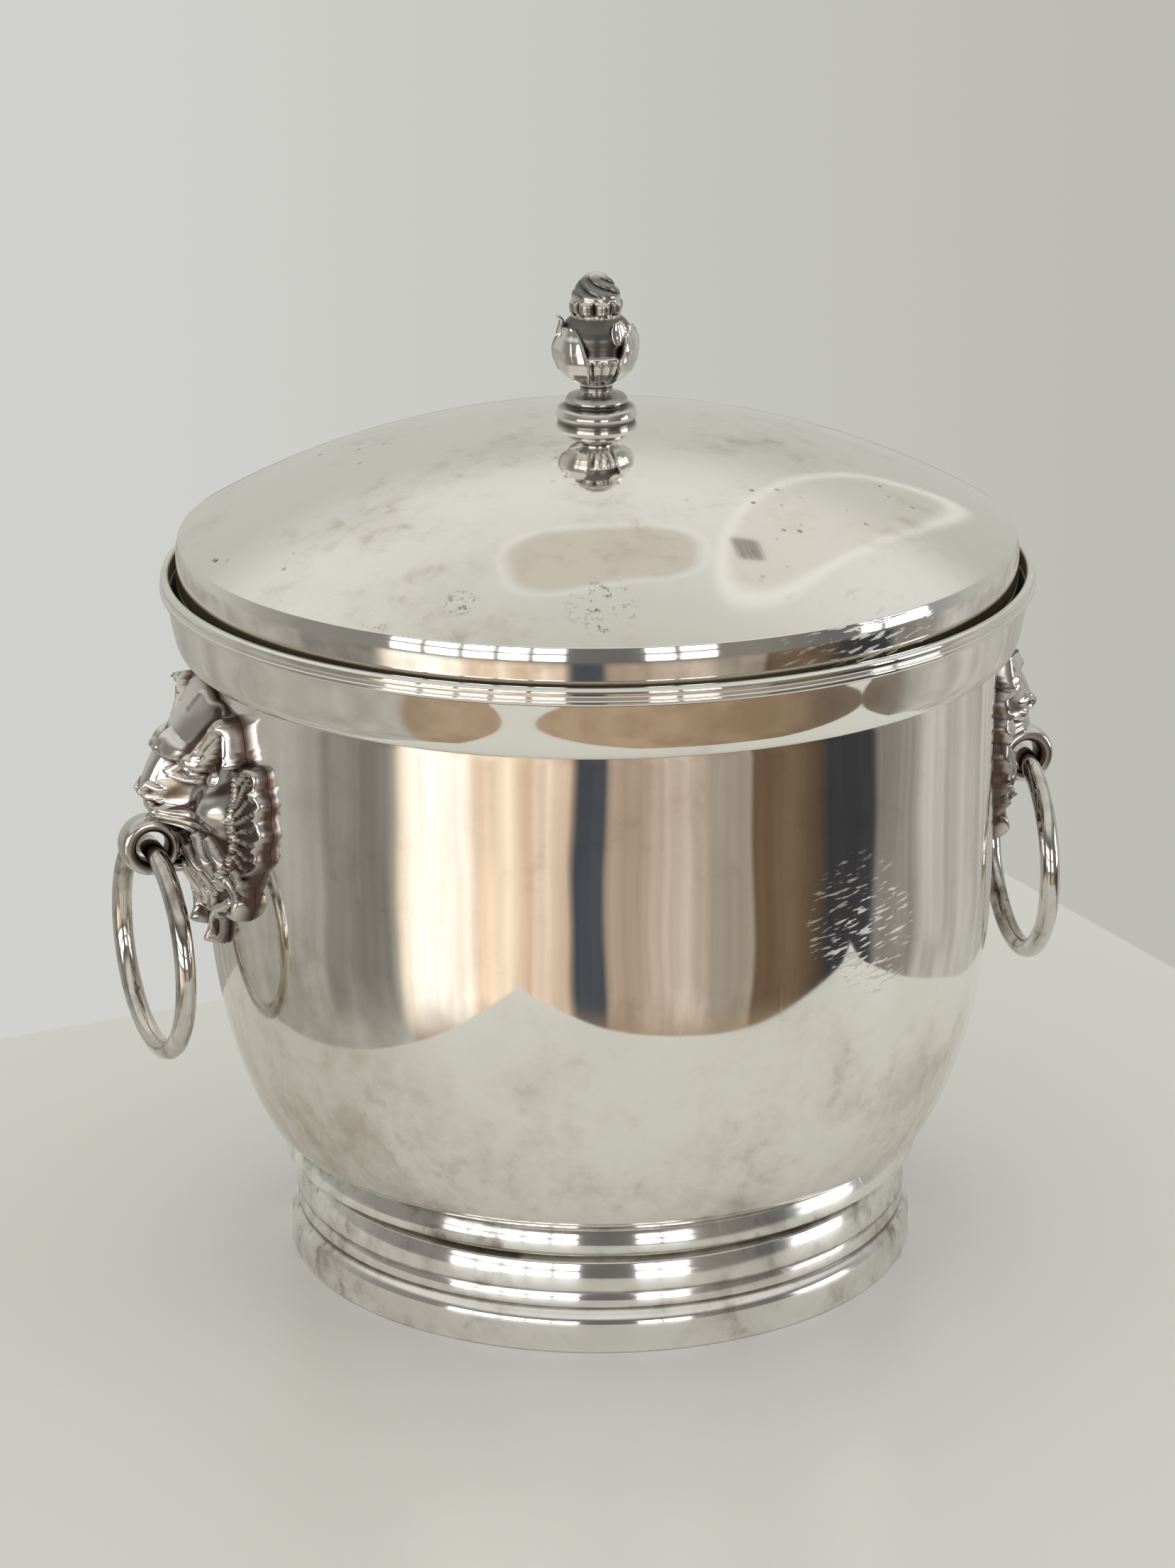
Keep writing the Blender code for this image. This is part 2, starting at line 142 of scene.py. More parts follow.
# cloud, haze, scratch, hairline and dents are strengths; the places are in metres
finishes = {
    "bodySilver": dict(
        tint=silverTint, tarnish=(0.52, 0.46, 0.37), cloud=0.30, rough=0.025,
        haze=0.05, scratch=0.35, hairline=0.02, dents=0.45, pits=0.0, spun=True,
        dull=(0.060, 0.084, 0.5, 0.9),
        # darker patches on the bowl; the broad one, low on its left side, is painted shade
        darkPatches=[((-0.0775, -0.020, 0.058), 0.055, 0.42), ((0.05, -0.06, 0.045), 0.03, 0.2)],
        scuffs=[((0.0321, -0.0862, 0.1045), 0.013), ((0.0372, -0.0843, 0.098), 0.012)],
    ),
    "collarSilver": dict(
        tint=silverTint, tarnish=(0.52, 0.46, 0.37), cloud=0.32, rough=0.03,
        haze=0.06, scratch=0.30, hairline=0.03, dents=0.5, pits=0.0, spun=True,
        dull=(0.060, 0.084, 0.4, 0.0),
    ),
    "footSilver": dict(
        tint=(0.91, 0.895, 0.86), tarnish=(0.24, 0.21, 0.175), cloud=0.55, rough=0.035,
        haze=0.14, scratch=0.35, hairline=0.03, dents=0.3, pits=0.5, spun=True,
        dull=(0.030, 0.070, 0.95, 0.30),
    ),
    "lidSilver": dict(
        tint=(0.92, 0.91, 0.87), tarnish=(0.50, 0.45, 0.37), cloud=0.46, rough=0.045,
        haze=0.08, scratch=0.5, hairline=0.02, dents=0.55, pits=1.0, spun=False,
        pitted=[((-0.0245, -0.081, 0.180), 0.010), ((-0.0521, -0.0684, 0.1792), 0.005),
                ((-0.0697, -0.0636, 0.1748), 0.004), ((-0.0267, -0.0869, 0.1767), 0.004)],
        scuffs=[((0.026, -0.0935, 0.169), 0.014), ((0.038, -0.0892, 0.170), 0.012)],
    ),
    "ringSilver": dict(
        tint=(0.89, 0.87, 0.83), tarnish=(0.22, 0.185, 0.155), cloud=0.75, rough=0.06,
        haze=0.10, scratch=0.4, hairline=0.0, dents=0.3, pits=0.2, spun=False, age=0.3,
    ),
    "castSilver": dict(
        tint=(0.80, 0.775, 0.745), tarnish=(0.12, 0.078, 0.068), cloud=0.30, rough=0.08,
        haze=0.12, scratch=0.2, hairline=0.0, dents=0.0, pits=0.0, spun=False,
    ),
    "budSilver": dict(
        tint=(0.84, 0.825, 0.79), tarnish=(0.11, 0.10, 0.09), cloud=0.26, rough=0.08,
        haze=0.12, scratch=0.2, hairline=0.0, dents=0.0, pits=0.0, spun=False,
    ),
    "satinSilver": dict(
        tint=(0.86, 0.85, 0.82), tarnish=(0.55, 0.50, 0.42), cloud=0.25, rough=0.28,
        haze=0.15, scratch=0.4, hairline=0.12, dents=0.0, pits=0.1, spun=True,
    ),
}
# painted shade: the near-black film laid in the gaps round the lid and on the collar's inner faces
gapShadeColour = (0.055, 0.048, 0.040)
rubbedColour = (0.93, 0.93, 0.92)
pitColour = (0.10, 0.085, 0.07)


# polished, worn silver plate; the attribute read below darkens hollows with tarnish and the inside of the
# ring eye's hole with painted shade, and from 1 to 2 it lays painted shade, a dull dark film as deep in a
# gap
def makeSilver(name):
    look = finishes[name]
    material = bpy.data.materials.new(name)
    material.use_nodes = True
    shader = material.node_tree.nodes["Principled BSDF"]
    start = Wire(material.node_tree)
    place = start.node("ShaderNodeTexCoord", out=3)
    x, y, z = split(place)

    def noise(scale, detail=3.0, vector=place, rough=0.5):
        sockets = {"Vector": vector, "Scale": scale, "Detail": detail, "Roughness": rough}
        return start.node("ShaderNodeTexNoise", None, sockets)

    def lines(turn, scale, low, high):
        sockets = {"Vector": place, "Rotation": turn, "Scale": scale}
        laid = start.node("ShaderNodeMapping", None, sockets)
        return noise(1.0, 2.0, laid).between(low, high)

    def awayFrom(middle):
        return start.node("ShaderNodeVectorMath", {"operation": "DISTANCE"}, {0: place, 1: middle}, out=1)

    def combined(x, y, z=0.0):
        return start.node("ShaderNodeCombineXYZ", None, {0: x, 1: y, 2: z})

    cloud = noise(30.0, 6.0, rough=0.66).between(0.44, 0.70)
    speckle = noise(190.0, 4.0).between(0.46, 0.72)
    patch = noise(9.0, 2.0).between(0.45, 0.7)
    long = lines((0.3, 0.9, 0.2), (900, 14, 14), 0.66, 0.72)
    cross = lines((1.2, 0.1, 1.1), (14, 1100, 16), 0.67, 0.73)
    short = lines((0.7, 2.0, 0.4), (60, 60, 1500), 0.68, 0.74)
    scratches = (long + cross + short) * (0.25 + patch * 0.75) * look["scratch"]
    mottle = cloud * 0.7 + cloud * speckle * 0.5 + speckle * 0.15
    tarnishAndShade = start.node("ShaderNodeAttribute", {"attribute_name": "tarnishAndShade"}, out=2)
    stainAndShade = mottle * look["cloud"] + look.get("age", 0.0) + tarnishAndShade
    dull = patch * 0.0
    if look.get("dull"):
        # handling leaves the sides by the masks and the lower bowl mottled and less bright
        near, far, most, least = look["dull"]
        flanks = x.absolute().between(near, far)
        lower = 1 - z.between(0.045, 0.10)
        blotch = noise(42.0, 6.0, rough=0.7).between(0.36, 0.68)
        dull = (flanks * most).greater(lower * least)
        stainAndShade = stainAndShade + dull * (blotch * 0.42 + speckle * 0.08)
    # darker patches on the bowl; the broad one, low on its left side, is painted shade
    for middle, reach, strength in look.get("darkPatches", ()):
        ragged = awayFrom(middle) + (cloud - 0.5) * reach * 0.4
        stainAndShade = stainAndShade + (1 - ragged.between(reach * 0.3, reach)) * strength
    colour = blendColour(stainAndShade.between(0.0, 1.0), rgb(look["tint"]), rgb(look["tarnish"]))
    # painted shade: where the attribute runs from 1 to 2 the colour goes to a near-black film, as deep in a
    # gap
    gapShade = tarnishAndShade.between(1.0, 2.0)
    colour = blendColour(gapShade, colour, rgb(gapShadeColour))
    scuffed = patch * 0.0
    if look.get("scuffs"):
        # short pale strokes, side by side, where something has rubbed
        turn = start.maths("ARCTAN2", y, x)
        laid = combined(turn * 19.0 + z * 60.0, z * 1100.0 - turn * 14.0)
        strokes = noise(1.0, 3.0, laid).between(0.53, 0.64)
        for middle, reach in look["scuffs"]:
            ragged = awayFrom(middle) + (patch + speckle - 1.0) * reach * 0.3
            scuffed = (1 - ragged.between(reach * 0.75, reach)) * strokes + scuffed
        colour = blendColour(scuffed * 0.5, colour, rgb(rubbedColour))
    if look["pits"]:
        cells = start.node("ShaderNodeTexVoronoi", None, {"Vector": place, "Scale": 260.0})
        few = noise(34.0, 2.0).between(0.60, 0.70)
        pits = (1 - cells.between(0.10, 0.24)) * few * look["pits"]
        for middle, reach in look.get("pitted", ()):
            crumbs = noise(380.0, 5.0, rough=0.75).between(0.54, 0.62)
            eaten = (1 - awayFrom(middle).between(reach * 0.3, reach)) * crumbs
            pits = pits.greater(eaten * 0.75)
        colour = blendColour(pits, colour, rgb(pitColour))
    rough = look["rough"] + patch * look["haze"] * 0.35 + cloud * look["haze"] * 0.3
    rough = rough + scratches * 0.30 + tarnishAndShade * 0.25 + dull * (0.05 + patch * 0.10)
    rough = rough + scuffed * 0.3 + gapShade * 0.3
    height = scratches * -0.4
    if look["hairline"]:
        if look["spun"]:
            around = (x * x + y * y).root() + 0.0001
            hair = noise(2.2, 3.0, combined(x / around, y / around, z * 1600.0))
        else:
            hair = noise(420.0, 3.0)
        rough = rough + hair * look["hairline"]
        height = height + hair * look["hairline"] * 1.5
    shader.inputs["Metallic"].default_value = 1.0
    start.tree.links.new(colour.socket, shader.inputs["Base Color"])
    start.tree.links.new(rough.socket, shader.inputs["Roughness"])
    fine = {"Height": height, "Distance": 0.00002, "Strength": 0.6}
    bump = start.node("ShaderNodeBump", None, fine)
    if look["dents"]:
        hammered = noise(22.0, 1.0) * look["dents"]
        broad = {"Height": hammered, "Distance": 0.001, "Strength": 1.0, "Normal": bump}
        bump = start.node("ShaderNodeBump", None, broad)
    start.tree.links.new(bump.socket, shader.inputs["Normal"])
    return material


def makeSteel():
    material = bpy.data.materials.new("plainSteel")
    material.use_nodes = True
    shader = material.node_tree.nodes["Principled BSDF"]
    start = Wire(material.node_tree)
    place = start.node("ShaderNodeTexCoord", out=3)
    grain = start.node("ShaderNodeTexNoise", None, {"Vector": place, "Scale": 900.0, "Detail": 4.0})
    colour = blendColour(grain, rgb((0.50, 0.49, 0.48)), rgb((0.64, 0.64, 0.65)))
    shader.inputs["Metallic"].default_value = 1.0
    start.tree.links.new(colour.socket, shader.inputs["Base Color"])
    rough = grain * 0.2 + 0.25
    start.tree.links.new(rough.socket, shader.inputs["Roughness"])
    return material


finish = {name: makeSilver(name) for name in finishes}
finish["plainSteel"] = makeSteel()
print("finishes:", ", ".join(finish))


weldDistance = 0.000002  # metres
turnedSharp = 40  # degrees between faces from which an edge stays sharp
castSharp = 60


# a lathe: the points of an outline in XZ are carried round Z, and the seam and the poles are welded
def makeLatheTree():
    tree = bpy.data.node_groups.new("lathe", "GeometryNodeTree")
    face = tree.interface
    face.new_socket("Outline", in_out="INPUT", socket_type="NodeSocketGeometry")
    face.new_socket("Facets", in_out="INPUT", socket_type="NodeSocketInt")
    face.new_socket("Finish", in_out="INPUT", socket_type="NodeSocketMaterial")
    face.new_socket("Turned", in_out="OUTPUT", socket_type="NodeSocketGeometry")
    start = Wire(tree)
    outline = start.node("NodeGroupInput")
    facets, coat = outline.also(1), outline.also(2)
    count = start.node("GeometryNodeAttributeDomainSize", {"component": "MESH"}, {0: outline})
    sheet = {"Size X": 1.0, "Size Y": 1.0, "Vertices X": facets + 1, "Vertices Y": count}
    grid = start.node("GeometryNodeMeshGrid", None, sheet)
    u, v, _ = split(start.node("GeometryNodeInputPosition"))
    row = start.maths("ROUND", (v + 0.5) * (count - 1))
    sampling = {"data_type": "FLOAT_VECTOR", "domain": "POINT"}
    spot = start.node("GeometryNodeInputPosition")
    sampled = start.node("GeometryNodeSampleIndex", sampling, {0: outline, 1: spot, "Index": row})
    reach, _, height = split(sampled)
    angle = (u + 0.5) * math.tau
    across = reach * start.maths("COSINE", angle)
    along = reach * start.maths("SINE", angle)
    spun = start.node("ShaderNodeCombineXYZ", None, {0: across, 1: along, 2: height})
    moved = start.node("GeometryNodeSetPosition", None, {"Geometry": grid, "Position": spun})
    welded = start.node("GeometryNodeMergeByDistance", None, {"Geometry": moved, "Distance": weldDistance})
    real = start.node("GeometryNodeRealizeInstances", None, {0: welded})
    coated = start.node("GeometryNodeSetMaterial", None, {"Geometry": real, "Material": coat})
    end = tree.nodes.new("NodeGroupOutput")
    tree.links.new(coated.socket, end.inputs[0])
    return tree


def setInput(modifier, name, value):
    for item in modifier.node_group.interface.items_tree:
        if item.item_type == "SOCKET" and item.in_out == "INPUT" and item.name == name:
            modifier[item.identifier] = value


# joins the points that lie together and turns the faces outwards
def weld(mesh, near=weldDistance):
    work = bmesh.new()
    work.from_mesh(mesh)
    bmesh.ops.remove_doubles(work, verts=work.verts, dist=near)
    bmesh.ops.recalc_face_normals(work, faces=work.faces)
    work.to_mesh(mesh)
    work.free()


def smooth(mesh, sharp):
    mesh.shade_smooth()
    mesh.set_sharp_from_angle(angle=math.radians(sharp))


# keeps what the node tree made as a plain mesh
def settle(made):
    graph = bpy.context.evaluated_depsgraph_get()
    mesh = bpy.data.meshes.new_from_object(made.evaluated_get(graph))
    made.modifiers.clear()
    made.data = mesh
    weld(mesh)
    smooth(mesh, turnedSharp)


latheTree = makeLatheTree()


# stains are (height, reach, strength) bands of tarnish round a turned piece, with painted shade where the
# sum passes 1, and lining is tarnish on the faces that look inwards, where no cloth reaches, and past 1
# painted shade
def spin(name, outline, coat, node, body, facets=240, stains=(), lining=0.0):
    mesh = bpy.data.meshes.new(name)
    mesh.from_pydata([(r * mm, 0, z * mm) for r, z in outline], [], [])
    made = newObject(name, mesh)
    lathe = made.modifiers.new("lathe", "NODES")
    lathe.node_group = latheTree
    setInput(lathe, "Facets", facets)
    setInput(lathe, "Finish", finish[coat])
    settle(made)
    tarnishAndShade = made.data.attributes.new("tarnishAndShade", "FLOAT", "POINT")
    for vertex, value in zip(made.data.vertices, tarnishAndShade.data):
        z = vertex.co.z / mm
        stain = sum(strength * math.exp(-(((z - at) / reach) ** 2)) for at, reach, strength in stains)
        inwards = -vertex.normal.xy.dot(vertex.co.xy.normalized())
        value.value = stain + lining * min(1.0, max(0.0, inwards * 2))
    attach(made, body)
    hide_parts(node)


# an outline of (radius, height, fillet) corners, each fillet an arc of short steps
def rounded(corners, steps=6, closed=True):
    points = []
    count = len(corners)
    for i, (r, z, fillet) in enumerate(corners):
        here = np.array((r, z), float)
        ends = not closed and i in (0, count - 1)
        if fillet <= 0 or ends:
            points.append((r, z))
            continue
        before = np.array(corners[i - 1][:2], float) - here
        after = np.array(corners[(i + 1) % count][:2], float) - here
        reach = min(np.linalg.norm(before), np.linalg.norm(after))
        before /= np.linalg.norm(before)
        after /= np.linalg.norm(after)
        half = math.acos(max(-1.0, min(1.0, float(before @ after)))) / 2
        away = min(fillet / math.tan(half), reach * 0.49)
        size = away * math.tan(half)
        middle = here + (before + after) / np.linalg.norm(before + after) * size / math.sin(half)
        first = here + before * away - middle
        last = here + after * away - middle
        a0 = math.atan2(first[1], first[0])
        turn = (math.atan2(last[1], last[0]) - a0 + math.pi) % math.tau - math.pi
        for k in range(steps + 1):
            a = a0 + turn * k / steps
            points.append((middle[0] + size * math.cos(a), middle[1] + size * math.sin(a)))
    if closed:
        points.append(points[0])
    return points


def spaced(start, end, count):
    return [start + (end - start) * i / (count - 1) for i in range(count)]


bucket = {
    "wall": 92.4,
    "sheet": 1.2,
    "bowlTop": 95.0,
    "bowlReach": 31.0,
    "bowlDepth": 75.0,
    "floor": 31.6,
    "shelf": 150.3,
    "shelfRadius": 95.0,
    "collarTop": 161.6,
    "collarReach": 99.5,
    "collarLean": 9.0,  # degrees at the collar's waist, and more above and below it
    "collarWaist": 157.0,
    "collarSheet": 1.1,
}


def bowlRadius(z):
    drop = max(0.0, bucket["bowlTop"] - z) / bucket["bowlDepth"]
    return bucket["wall"] - bucket["bowlReach"] * (1 - math.sqrt(1 - drop * drop))


def collarWall(low, count):
    places = []
    reach = bucket["collarReach"]
    step = (bucket["collarTop"] - low) / (count - 1)
    for i in range(count):
        z = bucket["collarTop"] - step * i
        places.append((reach, z, 0))
        away = (z - bucket["collarWaist"]) / 4.6
        lean = bucket["collarLean"] + (2.0 if away > 0 else 3.4) * away**2
        reach -= step * math.tan(math.radians(lean))
    return places


def makeBody():
    b = bucket
    t = b["sheet"]
    outer = [(0, b["floor"], 0), (74.0, b["floor"], 0.6), (76.6, 31.9, 1.0), (78.3, 33.1, 1.2)]
    outer += [(bowlRadius(z), z, 0) for z in spaced(35.0, b["bowlTop"], 40)]
    outer += [(b["wall"], z, 0) for z in spaced(100.0, 146.0, 12)]
    outer += [(b["wall"], b["shelf"], 0.6), (b["shelfRadius"], b["shelf"], 0.3)]
    outer += [(b["shelfRadius"], b["shelf"] + t, 0.3)]
    inner = [(b["wall"] - t, b["shelf"] + t, 0.6)]
    inner += [(bowlRadius(z) - t, z + 0.2, 0) for z in spaced(b["bowlTop"], 36.0, 36)]
    inner += [(73.6, b["floor"] + t, 2.0), (0, b["floor"] + t, 0)]
    spin("bodyShell", rounded(outer + inner, closed=False), "bodySilver", "body_shell", "bucket")
    low = 148.5
    wall = collarWall(151.2, 24)
    collar = wall + [(96.9, 149.3, 1.6), (95.2, low, 1.4), (92.8, low, 0.2), (92.8, low + 1.4, 0.2)]
    collar += [(95.1, low + 1.4, 0.8), (96.1, 151.0, 0.6)]
    collar += [(r - b["collarSheet"], z, 0) for r, z, _ in reversed(wall[:-2])]
    # the collar's faces that look inwards, onto the gap round the lid, get tarnish and painted shade
    spin("collarBand", rounded(collar), "collarSilver", "collar_band", "bucket", lining=1.6)
    rim = [(98.7, 161.9, 0), (98.7, 165.7, 0.5), (100.55, 165.7, 1.0), (100.6, 163.9, 0.8)]
    rim += [(99.75, 163.4, 0.25), (100.8, 163.3, 0.7), (100.8, 162.0, 0.6), (99.6, 161.9, 0)]
    # the rim's faces that look inwards get tarnish and a little painted shade
    spin("rimMoulding", rounded(rim), "collarSilver", "rim_moulding", "bucket", lining=1.2)


# points on a circle in the (radius, height) plane, between two angles in degrees
def swell(middle, radius, low, high, count=9):
    angles = [math.radians(a) for a in spaced(low, high, count)]
    return [(middle[0] + radius * math.cos(a), middle[1] + radius * math.sin(a), 0) for a in angles]


def makeFoot():
    top = 31.3
    foot = [(66.0, top, 0.2), (75.3, top, 0.3), (75.3, 30.9, 0.3)]
    foot += swell((63.6, 25.4), 12.0, 24, 0)
    foot += [(75.1, 24.8, 0.4), (70.5, 24.7, 0.5), (70.3, 22.2, 0.5)]
    foot += swell((53.9, 14.5), 19.0, 21, 0, 14)
    foot += [(72.2, 14.25, 0.15)]
    foot += swell((64.8, 10.9), 8.0, 22, 0)
    foot += [(72.3, 10.25, 0.2)]
    foot += swell((70.3, 6.3), 4.0, 52, 0, 10)
    foot += [(74.3, 0.0, 0.6), (70.5, 0.0, 0.3), (70.5, 8.6, 1.0), (68.7, 14.0, 1.0)]
    foot += [(68.7, 24.6, 2.0), (66.0, 29.9, 0.3)]
    stains = ((24.2, 0.9, 0.75), (22.2, 0.7, 0.6), (14.2, 0.5, 0.7), (10.2, 0.4, 0.7), (31.2, 0.5, 0.5))
    spin("footRing", rounded(foot), "footSilver", "foot_ring", "bucket", stains=stains)


lid = {
    "apex": 199.5,
    "edge": (94.0, 175.0),
    "shoulder": (96.35, 173.65),
    "bulge": [(96.6, 172.6), (96.8, 171.6), (96.93, 170.3)],
    "radius": 97.0,
    "band": (162.0, 168.0),
    "seat": (95.6, 153.1),
    "sheet": 1.0,
}


def domeHeight(r, apex):
    reach, low = lid["edge"]
    fall = lid["apex"] - low
    ball = (reach**2 + fall**2) / (2 * fall)
    return apex - ball + math.sqrt(ball**2 - r**2)


def makeLid():
    radii = spaced(2.3, lid["edge"][0] - 1.6, 60)
    sheet = lid["sheet"]
    under = lid["apex"] - sheet
    reach, (low, high), (foot, seat) = lid["radius"], lid["band"], lid["seat"]
    dome = [(r, domeHeight(r, lid["apex"]), 0) for r in radii]
    dome += [(*lid["shoulder"], 0.7)] + [(r, z, 0) for r, z in lid["bulge"]]
    dome += [(reach, high, 0), (reach, low, 2.0), (foot, seat, 0.4)]
    dome += [(foot - sheet, seat, 0.3), (reach - sheet, low, 2.0), (reach - sheet, high, 2.0)]
    dome += [(95.2, domeHeight(95.2, under), 1.0)]
    dome += [(r, domeHeight(r, under), 0) for r in reversed(radii)]
    # the band at 155 mm, on the skirt that sits inside the collar, is painted shade: a dark film in the gap
    stains = ((155.0, 3.6, 1.9), (174.4, 0.5, 0.25))
    spin("lidDome", rounded(dome), "lidSilver", "lid_dome", "lid", stains=stains)
    outer = foot - sheet - 0.3
    bezel = [(outer, 153.1, 0.2), (83.6, 153.1, 0.3), (83.6, 146.0, 0.4), (82.6, 146.0, 0.4)]
    bezel += [(82.6, 154.1, 1.0), (outer, 154.1, 0.2)]
    spin("lidBezel", rounded(bezel), "satinSilver", "lid_bezel", "lid", 180)
    base = [(2.3, 199.5, 0), (8.9, 199.33, 0.1), (9.0, 199.8, 0.2), (9.5, 200.9, 0.9)]
    base += [(8.9, 202.4, 0.8), (7.4, 202.7, 0.3), (6.9, 203.0, 0.3), (7.3, 204.0, 0.6)]
    base += [(6.5, 205.1, 0.6), (4.6, 205.4, 0.4)]
    base += [(3.7, 206.2, 0.5), (3.7, 207.2, 0.2), (2.3, 207.2, 0)]
    stains = ((205.4, 1.6, 0.62), (202.9, 0.5, 0.9), (199.6, 0.7, 0.7), (207.0, 0.4, 0.5))
    spin("finialBase", rounded(base), "budSilver", "finial_base", "lid", 96, stains)


def makeLiner():
    bore, wall, low, corner = 84.0, 1.0, 42.0, 18.0
    outer = bore + wall
    liner = [(0, low, 0), (outer, low, corner), (outer, 151.8, 0.4), (96.0, 151.8, 0.4)]
    liner += [(96.0, 152.8, 0.4), (bore, 152.8, 1.2), (bore, low + wall, corner - wall), (0, low + wall, 0)]
    spin("innerLiner", rounded(liner, 12, False), "satinSilver", "inner_liner", "liner", 180)


makeBody()
makeFoot()
makeLid()
makeLiner()
print("turned pieces done")


ringHandle = {"radius": 24.1, "wire": 2.35, "facets": 160, "wireFacets": 28}


def makeRing(side):
    joint = next(j for j in frame["joints"] if j["name"] == f"{side}_ring_swing")
    pivot = Vector(joint["pos_m"])
    axis = Vector(joint["axis"]).normalized()
    count, around = ringHandle["facets"], ringHandle["wireFacets"]
    radius, wire = ringHandle["radius"] * mm, ringHandle["wire"] * mm
    up = Vector((0, 0, 1))
    flat = axis.cross(up)
    middle = pivot - up * radius
    points = []
    faces = []
    for i in range(count):
        a = math.tau * i / count
        spoke = up * math.cos(a) + axis * math.sin(a)
        for k in range(around):
            b = math.tau * k / around
            points.append(middle + spoke * (radius + wire * math.cos(b)) + flat * wire * math.sin(b))
            n, m = (i + 1) % count, (k + 1) % around
            faces.append((i * around + k, n * around + k, n * around + m, i * around + m))
    mesh = bpy.data.meshes.new(f"{side}Ring")
    mesh.from_pydata(points, [], faces)
    mesh.materials.append(finish["ringSilver"])
    weld(mesh)
    smooth(mesh, turnedSharp)
    made = newObject(f"{side}Ring", mesh)
    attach(made, f"{side}_ring")
    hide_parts(f"{side}_ring_handle")


for side in ("left", "right"):
    makeRing(side)
print("ring handles done")


# one mesh from grids of points: each grid is rows x columns, closed round its columns
def sheetMesh(name, grids, coat):
    work = bmesh.new()
    layer = work.verts.layers.float.new("tarnishAndShade")
    for places, stain, poles in grids:
        rows, columns, _ = places.shape
        laid = []
        for i in range(rows):
            line = []
            for j in range(columns):
                vertex = work.verts.new(places[i, j] * mm)
                vertex[layer] = float(stain[i, j])
                line.append(vertex)
            laid.append(line)
        for i in range(rows - 1):
            for j in range(columns):
                k = (j + 1) % columns
                work.faces.new((laid[i][j], laid[i][k], laid[i + 1][k], laid[i + 1][j]))
        for line, pole in zip((laid[0], laid[-1]), poles):
            if pole is None:
                continue
            tip = work.verts.new(Vector(pole) * mm)
            tip[layer] = float(np.mean([v[layer] for v in line]))
            for j in range(columns):
                work.faces.new((tip, line[j], line[(j + 1) % columns]))
    bmesh.ops.recalc_face_normals(work, faces=work.faces)
    mesh = bpy.data.meshes.new(name)
    work.to_mesh(mesh)
    work.free()
    mesh.materials.append(finish[coat])
    smooth(mesh, castSharp)
    return newObject(name, mesh)


